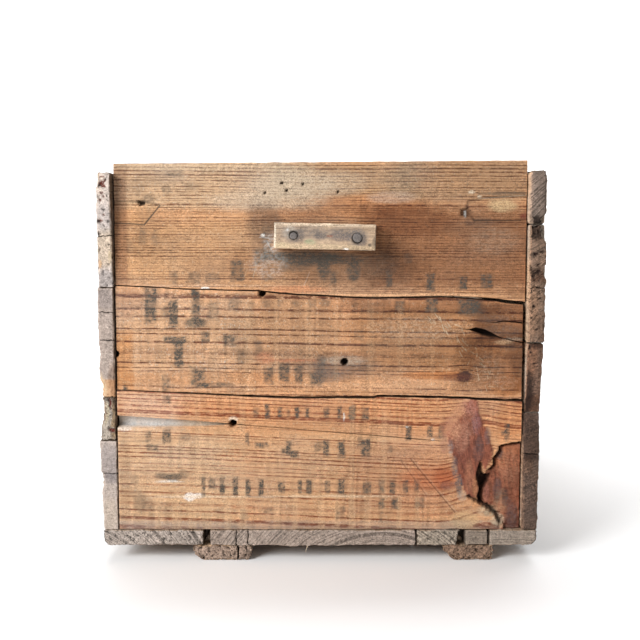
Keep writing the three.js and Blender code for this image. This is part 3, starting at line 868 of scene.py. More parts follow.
frontMiddle = {
    "seed": 2, "wear": 0.9, "step": (1.25, 1.15, 3.0),
    "low": offsetLine(lowerJoint, lambda x: onLine(lowerGap, x) / 2),
    "high": offsetLine(upperJoint, lambda x: -onLine(upperGap, x) / 2), "edgeGrimeAndShade": 0.85,
    "splits": [
        {"level": 202.0, "line": [(-178, 204), (118, 206), (136, 204.6), (146, 201.5), (156, 198.2),
                                  (178, 193)],
         "open": [(118, 0), (130, 0.9), (135, 4.6), (143, 6.4), (150, 4.4), (155, 1.4), (160, 0.6),
                  (178, 1.2)],
         "depth": [(114, 0), (128, 2), (134, 12), (154, 12), (160, 4), (178, 5)], "rough": 0.8,
         "grime": [(118, 0), (126, 0.9), (178, 1)]},
        {"level": 213.0, "line": [(-178, 213), (140, 211.5), (152, 211), (160, 212.4), (170, 211.4),
                                  (178, 210.5)],
         "open": [(145, 0), (155, 0.9), (178, 1.4)], "depth": [(143, 0), (152, 3), (178, 4)],
         "grime": [(143, 0), (152, 1), (178, 1)]},
    ],
    "dents": [oldNailHole((-50.2, 236.6), 2.9), oldNailHole((21.4, 176.7), 2.9),
              oldNailHole((-177.5, 183.7), 2.2)],
    "tones": [
        tint(-125, 195, 62, 42, (0.90, 1.02, 1.16), square=True, soft=0.5),
        tint(-171, 178, 8, 26, (0.95, 0.80, 0.62), square=True),
        tint(-165, 228, 12, 12, (0.85, 0.80, 0.78)),
        tint(-30, 200, 48, 38, (0.76, 0.81, 0.86), soft=0.7),
        tint(92, 198, 62, 30, (0.67, 0.62, 0.55), square=True, soft=0.5),
        tint(90, 228, 75, 8, (0.72, 0.66, 0.64), square=True),
        tint(158, 210, 24, 18, (0.46, 0.40, 0.37), square=True, soft=0.5),
        tint(152, 176, 32, 24, (0.54, 0.46, 0.40), square=True, soft=0.6),
        tint(165, 155, 20, 9, (0.85, 0.70, 0.55)),
        tint(172, 185, 8, 20, (0.65, 0.62, 0.60)),
        tint(100, 165, 30, 3.5, (0.98, 0.76, 0.56), soft=0.7),
        tint(-90, 163, 80, 6, (1.0, 0.9, 0.8)),
        tint(15, 172, 32, 11, (0.70, 0.68, 0.68), soft=0.8),
    ],
    "paints": [
        inkBar(-152, -142, 212, 241, 0.62, soft=0.6), inkBar(-131, -123.5, 209, 231, 0.8),
        blot(-133, 220, 5, 5, ink, 0.5, patchy=0.4), inkBar(-111, -104, 214, 239, 0.8),
        blot(-108, 211, 9, 4.5, ink, 0.85, patchy=0.3), inkBar(-98, -88, 214, 229, 0.3),
        inkBar(-80, -70, 221, 233, 0.3), inkBar(-136, -116, 193, 199, 0.55),
        inkBar(-127, -119, 172, 196, 0.7), inkBar(-103, -96, 194, 203, 0.4),
        inkBar(-84, -74, 190, 201, 0.42), inkBar(-113, -100, 155, 172, 0.45),
        blot(-90, 156.5, 16, 2.2, ink, 0.6, patchy=0.3), inkBar(-72, -66, 175, 186, 0.25),
        inkBar(-57, -50, 181, 196, 0.3), inkBar(-49, -41, 158, 172, 0.45),
        inkBar(-36, -27, 160, 176, 0.5), inkBar(-22, -15, 157, 172, 0.5), inkBar(-8, 2, 155, 166, 0.45),
        inkBar(-3, 5, 168, 182, 0.4), inkBar(-172, -168, 150, 156, 0.5),
        inkBar(-138, -131, 150, 166, 0.4),
        blot(18, 173, 30, 9, (0.15, 0.115, 0.095), 0.42, patchy=0.5, soft=0.8),
        blot(8, 164, 14, 6, (0.13, 0.10, 0.085), 0.45, patchy=0.4),
        blot(-2, 163, 8, 7, ink, 0.35, patchy=0.4),
        blot(22, 178, 18, 4, (0.45, 0.37, 0.28), 0.4, patchy=0.5), inkBar(65, 73, 222, 230, 0.4),
        inkBar(92, 102, 221, 232, 0.5), inkBar(120, 140, 219, 231, 0.55),
        blot(132, 222, 12, 7, ink, 0.35, patchy=0.4), inkBar(30, 38, 196, 206, 0.2),
        blot(126, 163.8, 6.0, 5.0, (0.05, 0.022, 0.016), 0.95, ragged=0.5, soft=0.5),
        blot(119, 163, 15, 3.4, (0.10, 0.03, 0.02), 0.5, soft=0.7),
        blot(146, 169, 13, 14, pale, 0.10, patchy=0.9, soft=0.9),
        blot(160, 158, 12, 6, pale, 0.12, patchy=0.9), blot(85, 206, 45, 10, pale, 0.16, patchy=0.9),
        blot(160, 194, 8, 2.0, (0.50, 0.33, 0.19), 0.35), blot(168, 196.5, 9, 1.6, pale, 0.2),
        blot(158, 204, 18, 5, (0.10, 0.075, 0.06), 0.35, patchy=0.5),
        blot(166, 190, 9, 4, ink, 0.3, patchy=0.5),
        blot(150, 214, 14, 4, (0.12, 0.08, 0.06), 0.4, patchy=0.5),
        blot(-48, 180, 8, 5, (0.45, 0.16, 0.08), 0.3),
        blot(-25, 178, 22, 1.6, (0.42, 0.13, 0.06), 0.35), blot(45, 155, 60, 3, (0.62, 0.36, 0.2), 0.3),
    ] + inkBars(-60, 48, 224, 232, 13, 0.28, 4) + paleBands(
        ((-160, 2.5), (-137, 3), (-112, 2.5), (-92, 3.5), (-62, 4), (-38, 2.5), (-10, 3), (14, 2),
         (44, 3),
         (70, 2.5), (98, 2)), 192, 36, 0.10),
}
frontBottom = {
    "seed": 3, "wear": 0.8, "edgeGrimeAndShade": 0.85, "step": (1.25, 1.1, 3.0),
    "high": offsetLine(lowerJoint, lambda x: -onLine(lowerGap, x) / 2),
    "splits": [{"level": 115.0,
                "line": [(-178, 124.3), (-144, 123.4), (-105, 122.2), (-75, 122.0), (-20, 117.4),
                         (0, 115.7), (40, 112.6), (87, 108.5), (105, 107.0), (178, 106.0)],
                "open": [(-178, 11.6), (-144, 8.6), (-105, 5.0), (-78, 1.2), (-60, 0.5), (87, 0.8),
                         (104, 0.5), (107, 0)],
                "depth": [(-178, 7), (-144, 5), (-105, 4), (-78, 4), (-60, 3), (87, 3), (105, 2),
                          (108, 0)],
                "rough": 0.7, "grime": [(-178, 0.35), (-165, 0.05), (-100, 0.05), (-82, 0.4),
                                        (-70, 0.9),
                                        (100, 0.8), (112, 0)],
                "bare": [(-178, 0.9), (-86, 0.9), (-76, 0)]}],
    "dents": [
        outlineDent([(132, 144.5), (127, 139), (123.5, 131), (116.5, 122), (112.5, 113), (112.5, 105),
                     (117, 93), (120.5, 81.2), (124, 68), (130, 57), (142, 50.7), (141, 88),
                     (144.5, 81), (147, 84), (150.5, 92), (152, 100), (149, 107), (146, 116),
                     (142, 126), (138.5, 136),
                     (137, 144.5)],
                    depth=-0.6, soft=0.9, mask="knot", rough=1.1, ragged=2.4),
        outlineDent([(179, 105.7), (163.1, 103.6), (158, 101.9), (158, 97.5), (152.8, 91.1),
                     (153.7, 85), (150, 81.5), (145, 77.7), (140.6, 72.5), (140.5, 55), (142, 50.7),
                     (148.6, 46.7), (156.7, 39.9), (162.3, 31.5), (162.5, 24), (182, 24), (182, 105.7)],
                    depth=4.2, soft=0.5, mask="knot", strength=0.8, rough=1.2, ragged=0.8),
        outlineDent([(178.5, 106.4), (170, 105.2), (163.1, 104.2), (157.3, 102.3), (157.2, 98),
                     (152, 91.4), (152.9, 86), (149, 82), (146.8, 80.4), (150.6, 80.8), (155, 85),
                     (154.6, 90.5),
                     (159.8, 97.2), (159.6, 100.8), (163.4, 102.4), (178.5, 104.6)],
                    depth=6.5, soft=0.45, mask="grime", strength=0.95, ragged=0.35),
        outlineDent([(141.0, 89.5), (142.6, 84), (142.8, 79), (145, 76), (149.5, 76.5), (148.5, 70),
                     (144.2, 64), (143, 58), (143.2, 51), (140.6, 51.5), (138.4, 57), (140.6, 63),
                     (139.6, 69), (137.6, 75),
                     (138.6, 81)], depth=9, soft=0.6, mask="grime", ragged=0.5),
        outlineDent([(129, 57.5), (135, 53.6), (142, 50.2), (149, 45.5), (155, 39.8), (158.6, 32),
                     (160.4, 33.5),
                     (157.5, 41.5), (151, 47.4), (143.5, 52), (136, 55.6), (130, 59.4)],
                    depth=3.5, soft=0.5, mask="grime", strength=0.9, ragged=0.8),
        outlineDent([(135, 52.5), (142, 49), (149, 44), (154.5, 38.5), (158, 30), (166, 27), (164, 36),
                     (158, 45),
                     (150, 50), (143, 53)], depth=1.0, soft=1.2, rough=3.0, ragged=1.5),
        oldNailHole((-76.2, 122.6), 2.9),
    ],
    "tones": [
        tint(-148, 132, 24, 16, (1.08, 1.2, 1.4), square=True),
        tint(-130, 75, 58, 48, (0.92, 1.08, 1.2), square=True, soft=0.5),
        tint(0, 80, 65, 45, (0.9, 0.97, 1.0), square=True, soft=0.6),
        tint(20, 128, 150, 16, (0.97, 0.89, 0.82), square=True, soft=0.5),
        tint(70, 72, 48, 30, (0.82, 0.78, 0.80), square=True, soft=0.6),
        tint(98, 73, 27, 10, (0.95, 0.74, 0.66), soft=0.8),
        tint(110, 74, 9, 12, (0.85, 0.66, 0.58), soft=0.8), tint(166, 92, 14, 11, (1.3, 1.25, 1.1)),
        tint(154, 66, 9, 16, (0.72, 0.6, 0.58)), tint(170, 75, 12, 32, (1.14, 1.14, 1.14), square=True),
        tint(95, 40, 55, 12, (0.98, 1.0, 1.0)),
        tint(0, 31, 185, 4.5, (0.82, 0.93, 1.15), square=True, soft=0.4),
        tint(-172, 70, 5, 45, (0.85, 0.85, 0.85)), tint(169, 125, 12, 18, (1.0, 0.9, 0.8), square=True),
        tint(172, 60, 8, 40, (0.60, 0.52, 0.50), square=True, soft=0.5),
    ],
    "paints": [
        blot(-156, 51, 8, 8, ink, 0.42, patchy=0.3), blot(-162, 60, 5, 5, ink, 0.3, patchy=0.5),
        blot(-163, 72, 4, 5, ink, 0.35, patchy=0.5),
        blot(-114.5, 57, 5.6, 3.5, (0.76, 0.70, 0.65), 0.9, ragged=0.5, soft=0.4),
        blot(-107, 58, 5, 2.5, (0.80, 0.76, 0.72), 0.5),
        blot(-95, 57, 60, 1.0, (0.64, 0.5, 0.36), 0.6, soft=0.4),
        blot(15, 57.5, 60, 1.0, (0.64, 0.48, 0.33), 0.5, soft=0.4), inkBar(-153, -148, 106, 116, 0.4),
        inkBar(-138, -131, 105, 117, 0.55), inkBar(-122, -114, 106, 114, 0.3),
        inkBar(-152, -142, 98, 104, 0.4), inkBar(-66, -62, 104, 114, 0.4),
        inkBar(-57, -45, 101, 106, 0.45), inkBar(-30, -25, 95, 107, 0.6),
        inkBar(-26, -19, 92, 98, 0.55), inkBar(-5, 2, 98, 106, 0.35), inkBar(3, 8, 93, 108, 0.6),
        inkBar(16, 22, 92, 107, 0.55), inkBar(36, 44, 94, 109, 0.6), inkBar(33, 37, 103, 110, 0.35),
        inkBar(60, 64, 97, 103, 0.25), inkBar(75, 80, 107, 121, 0.55), inkBar(94, 99, 110, 121, 0.5),
        inkBar(104, 109, 110, 121, 0.5), inkBar(162, 166, 108, 122, 0.5),
        inkBar(159, 163, 112, 117, 0.35), inkBar(-58, -54, 128, 137, 0.35),
        inkBar(-48, -44, 127, 139, 0.6), inkBar(-37, -33, 128, 137, 0.45),
        inkBar(-29, -26, 128, 135, 0.45), inkBar(-22, -18, 127, 137, 0.55),
        inkBar(-13, -10, 128, 137, 0.5), inkBar(3, 8, 127, 137, 0.45), inkBar(15, 19, 127, 138, 0.5),
        inkBar(25, 31, 126, 138, 0.55), inkBar(37, 43, 125, 136, 0.5),
        inkBar(-138, -130, 140, 147, 0.4), blot(-139, 76, 6, 3.0, ink, 0.55, patchy=0.3),
        blot(-129, 74.5, 7, 3.5, ink, 0.7, patchy=0.2), blot(-120, 77.5, 5, 4.2, ink, 0.5, patchy=0.3),
        blot(-133, 70.8, 13, 0.9, bright, 0.45, soft=0.4), inkBar(-104, -101, 58, 74, 0.5),
        inkBar(-98, -92, 64, 74, 0.4), inkBar(-88, -84, 59, 74, 0.7), inkBar(-77, -72, 58, 74, 0.8),
        inkBar(-66, -61.5, 58, 74, 0.75), inkBar(-54, -49.5, 58, 73, 0.65),
        inkBar(-37, -31, 60, 71, 0.5), inkBar(-20, -16, 60, 72, 0.5), inkBar(-12, -7, 60, 73, 0.5),
        inkBar(4, 9, 60, 72, 0.4), inkBar(16, 22, 59, 73, 0.6), inkBar(38, 45, 60, 70, 0.45),
        inkBar(52, 57, 60, 73, 0.5), inkBar(62, 66, 60, 72, 0.5), inkBar(73, 78, 60, 72, 0.45),
        inkBar(83, 88, 61, 72, 0.4), inkBar(52, 57, 46, 56, 0.5), inkBar(63, 69, 46, 56, 0.5),
        inkBar(84, 92, 47, 56, 0.35), inkBar(14, 22, 37, 48, 0.3), inkBar(52, 56, 33, 44, 0.3),
        inkBar(-70, -64, 36, 46, 0.3), inkBar(-50, -42, 42, 47, 0.25), inkBar(-34, -28, 96, 100, 0.4),
        blot(-115, 30, 60, 3, (0.20, 0.17, 0.15), 0.35, patchy=0.4),
        blot(20, 29, 150, 2, (0.2, 0.16, 0.13), 0.3),
        blot(150, 42, 6, 3, (0.09, 0.06, 0.045), 0.7, patchy=0.6),
        blot(156, 33, 5, 4, (0.07, 0.05, 0.04), 0.6, patchy=0.6),
        blot(148, 44, 9, 4.5, (0.55, 0.42, 0.27), 0.6, patchy=0.6),
        blot(157, 36, 6, 5, (0.56, 0.44, 0.3), 0.6, patchy=0.5),
        blot(128, 36, 12, 8, (0.55, 0.38, 0.2), 0.4),
        blot(120, 31, 14, 5, (0.36, 0.28, 0.2), 0.35, patchy=0.4),
        blot(131, 137, 8, 7, (0.34, 0.15, 0.11), 0.65, soft=0.8, patchy=0.4),
        blot(112, 119, 6, 8, (0.33, 0.13, 0.08), 0.6, patchy=0.4),
        blot(109, 104, 4, 9, (0.30, 0.14, 0.10), 0.45, patchy=0.4),
        blot(127, 100, 7, 16, (0.12, 0.04, 0.03), 0.35, patchy=0.5),
        blot(131, 122, 7, 12, (0.42, 0.24, 0.17), 0.25, patchy=0.6),
        blot(147, 112, 3, 8, (0.13, 0.10, 0.10), 0.4), blot(140, 104, 3, 9, (0.10, 0.06, 0.055), 0.4),
        blot(118.5, 84, 2.6, 10, (0.10, 0.095, 0.10), 0.6, patchy=0.4),
        blot(122.5, 68, 3.2, 9, (0.07, 0.07, 0.075), 0.7, patchy=0.3),
        blot(114.5, 101, 2.4, 8, (0.25, 0.21, 0.19), 0.5, patchy=0.5),
        blot(113, 67, 8, 4, (0.10, 0.06, 0.06), 0.4, patchy=0.4),
        blot(125, 58, 4, 5, (0.3, 0.26, 0.22), 0.5, patchy=0.5),
        blot(137, 66, 3, 10, (0.40, 0.20, 0.09), 0.4),
        blot(147, 60, 3, 9, (0.28, 0.11, 0.08), 0.5, patchy=0.4),
        blot(139, 99, 5, 10, (0.10, 0.055, 0.05), 0.5, patchy=0.4),
        blot(137, 51.5, 3, 5, (0.55, 0.28, 0.13), 0.6),
        blot(124, 110, 7, 13, (0.40, 0.20, 0.13), 0.45, patchy=0.4),
        blot(131, 75, 4, 15, (0.36, 0.16, 0.09), 0.35),
        blot(137, 123, 4, 10, (0.20, 0.10, 0.11), 0.45, patchy=0.3),
        blot(117, 120, 6, 12, (0.44, 0.21, 0.12), 0.8, patchy=0.5),
        blot(122, 134, 6, 6, (0.46, 0.22, 0.12), 0.7, patchy=0.5),
        blot(168, 84, 10, 14, (0.32, 0.15, 0.085), 0.4, patchy=0.5),
        blot(160, 52, 6, 10, (0.34, 0.20, 0.11), 0.45, patchy=0.4),
        blot(170, 40, 5, 12, (0.10, 0.07, 0.065), 0.5, patchy=0.4),
        blot(164, 58, 3, 6, (0.04, 0.02, 0.018), 0.7, patchy=0.3),
        blot(158, 95, 4, 5, (0.08, 0.07, 0.07), 0.5), blot(157, 62, 4, 11, (0.07, 0.055, 0.055), 0.45),
        blot(165, 52, 4, 4, (0.10, 0.05, 0.04), 0.6), blot(-172, 118, 7, 2.0, bright, 0.4),
        blot(76, 119.5, 1.4, 0.9, bright, 0.6), blot(99, 108, 2.2, 0.7, bright, 0.7),
        blot(104, 110, 5, 0.8, (0.12, 0.08, 0.06), 0.5), blot(21, 128.5, 1.0, 3.4, bright, 0.7),
        blot(-76, 126.5, 4, 2.2, (0.66, 0.56, 0.44), 0.6),
    ] + inkBars(-150, -80, 36, 48, 15, 0.14, 8) + paleBands(
        ((-143, 3), (-127, 4), (-113, 3.5), (-100, 4), (-81, 3), (-68, 3.6), (-38, 3), (-22, 2.5),
         (1, 3),
         (15, 2.5), (28, 3), (42, 3.4), (70, 2.5), (86, 2)), 40, 20, 0.20) + paleBands(
        ((-68, 2.6), (-160, 2), (-107, 2.5), (28, 2), (56, 2.5)), 92, 50, 0.14),
}


def scuffs(line, each, seed):
    # short thin pale scratches scattered along a line
    marks = []
    for i, (x, z) in enumerate(place for place in line for _ in range(each)):
        x, z = x + 14 * ripple(i * 1.73, seed + 0.5), z + 12 * ripple(i * 2.31, seed + 0.5, 5.5)
        dx = 1.6 + 6 * ripple(i * 0.91, seed + 0.5, 9.5)
        dz = -3.2 + 5 * ripple(i * 1.13, seed + 0.5, 13.5)
        strength = 0.62 + 0.5 * ripple(i * 1.37, seed + 0.5, 17.5)
        marks.append(((x, z), (x + dx, z + dz), 0.55, looseFibre, strength))
    return marks


frontLooks = {
    "top": dict(seed=1.0, ring=2.05, pith=(430.0, -160.0), slope=0.004, wander=1.2, bands=0.09,
                early=(0.51, 0.268, 0.13), late=(0.15, 0.048, 0.02), lines=0.9, broken=0.65,
                streaks=0.2, uneven=1.2, mottle=1.25, darkFlecks=0.75, spots=0.5,
                knots=((-10.0, 310.0, 60.0, 12.0, -3.0),),
                scratches=(((-52, 285), (-38, 283.5), 0.5, bright, 0.5),
                           ((-46, 282), (-42, 274), 0.6, bright, 0.6),
                           ((-40, 285), (-37, 277), 0.5, bright, 0.5),
                           ((-50, 268), (-43, 262), 0.5, pale, 0.5),
                           ((-55, 262), (-58, 250), 0.5, pale, 0.4),
                           ((-63, 258), (-66, 249), 0.4, pale, 0.35),
                           ((-9, 255), (-14, 243), 0.5, bright, 0.2),
                           ((-137.7, 312), (-151, 296), 0.8, ink, 0.7),
                           ((-151, 295.8), (-178, 297.3), 0.6, (0.2, 0.13, 0.09), 0.7),
                           ((136, 318), (178, 321), 0.5, pale, 0.45),
                           ((132, 299.5), (172, 299), 0.6, ink, 0.6))),
    "middle": dict(seed=2.0, ring=4.1, pith=(262.0, -150.0), slope=0.012, wander=2.2, bands=0.22,
                   early=(0.51, 0.258, 0.124), late=(0.14, 0.044, 0.018), lines=1.25, broken=0.7,
                   uneven=2.2, mottle=1.35, paleFlecks=0.5, spots=0.5, lateFrom=0.62,
                   bandLength=12.0,
                   knots=((126.0, 163.8, 9.0, 6.0, 4.0), (-118.0, 158.0, 30.0, 6.0, 2.5)),
                   scratches=scuffs(((100, 214), (110, 206), (120, 198), (127, 186), (133, 177),
                                     (140, 168), (150, 160)), 6, 7)),
    "bottom": dict(seed=3.0, ring=2.7, pith=(-10.0, -120.0), slope=0.042, wander=1.8, bands=0.24,
                   early=(0.565, 0.292, 0.144), late=(0.22, 0.06, 0.022), lines=1.05, broken=0.55,
                   uneven=2.4, mottle=1.1, lateFrom=0.5,
                   bandLength=10.0, knots=((140.0, 112.0, 24.0, 24.0, 8.0),),
                   swells=((137.0, 78.0, 20.0, 27.0, 15.0), (150.0, 42.0, 28.0, 16.0, 9.0)),
                   freshColour=(0.45, 0.385, 0.31),
                   scratches=(((71.5, 88.5), (94, 58), 0.45, (0.13, 0.075, 0.05), 0.5),
                              ((79.5, 91), (119, 43), 0.55, (0.12, 0.07, 0.045), 0.65),
                              ((81, 91.5), (120.5, 43.5), 0.35, pale, 0.35),
                              ((73, 89), (95, 59), 0.3, pale, 0.25),
                              ((84, 80), (100, 62), 0.4, (0.16, 0.09, 0.06), 0.35))),
}
for row, shape in (("top", frontTop), ("middle", frontMiddle), ("bottom", frontBottom)):
    makeBoard(f"front_end_board_{row}", "front", shape,
              makeWood(f"front {row} wood", **frontLooks[row]))

print("back boards")
backUpper = [(-178, 240.5), (-60, 238.5), (40, 239.5), (178.5, 236.6)]
backLower = [(-178, 146.8), (-50, 143.2), (60, 142.0), (178.5, 138.4)]
grime = (0.10, 0.085, 0.07)
backBoards = {
    "top": {"low": offsetLine(backUpper, lambda x: 0.4),
            "splits": [{"level": 300.0, "line": [(-178, 316), (-110, 314), (-60, 313)],
                        "open": [(-178, 1.4), (-110, 0.5), (-80, 0)],
                        "depth": [(-178, 5), (-110, 3), (-80, 0)], "grime": [(-178, 1), (-80, 0.6)]}],
            "dents": [oldNailHole((-33, 322), 1.6), oldNailHole((61, 306), 2.2)],
            "tones": [tint(0, 335, 180, 16, (0.86, 0.95, 1.0), square=True),
                      tint(110, 280, 60, 40, (0.72, 0.68, 0.66)),
                      tint(-120, 270, 50, 26, (0.9, 0.86, 0.8))],
            "paints": [blot(0, 268, 50, 7, grime, 0.6, patchy=0.4), blot(60, 320, 24, 12, pale, 0.3),
                       blot(52, 288, 8, 14, grime, 0.4, patchy=0.5)]},
    "middle": {"low": offsetLine(backLower, lambda x: 0.5),
               "high": offsetLine(backUpper, lambda x: -0.4),
               "dents": [oldNailHole((84, 158), 2.6), oldNailHole((-129, 226), 2.4)],
               "splits": [{"level": 180.0, "line": [(-178, 181), (60, 183), (178, 186)],
                           "open": [(96, 0), (130, 0.5), (178, 1.6)],
                           "depth": [(92, 0), (120, 3), (178, 5)], "grime": [(92, 0), (120, 1)]}],
               "tones": [tint(-90, 190, 70, 35, (0.82, 0.84, 0.86)),
                         tint(120, 200, 50, 30, (1.0, 0.85, 0.7)),
                         tint(150, 150, 30, 12, (0.7, 0.66, 0.62))],
               "paints": [blot(-60, 205, 9, 6, (0.04, 0.02, 0.02), 0.85, ragged=0.2),
                          blot(84, 160, 16, 9, grime, 0.4, patchy=0.5)]},
    "bottom": {"high": offsetLine(backLower, lambda x: -0.5),
               "dents": [oldNailHole((30, 92), 2.6)],
               "tones": [tint(0, 34, 182, 8, (0.66, 0.70, 0.76), square=True),
                         tint(-110, 95, 55, 34, (0.92, 1.0, 1.04)),
                         tint(60, 70, 70, 30, (0.8, 0.76, 0.74))],
               "paints": [blot(-30, 110, 30, 12, grime, 0.3, patchy=0.6),
                          blot(120, 60, 22, 10, pale, 0.28, patchy=0.7)]},
}
backLooks = {
    "top": dict(ring=2.6, pith=(400.0, 160.0), knots=((96.0, 290.0, 20.0, 14.0, 6.0),)),
    "middle": dict(ring=3.8, pith=(250.0, 150.0), knots=((-60.0, 205.0, 14.0, 10.0, 6.0),)),
    "bottom": dict(ring=3.2, pith=(-30.0, 130.0), bands=0.36),
}
for i, row in enumerate(("top", "middle", "bottom")):
    shape = {"seed": 11 + i, "step": (1.9, 1.7, 3.0), **backBoards[row]}
    makeBoard(f"back_end_board_{row}", "back", shape,
              makeWood(f"back {row} wood", seed=11.0 + i, shade=0.86, grey=0.25, **backLooks[row]))

print("side boards")
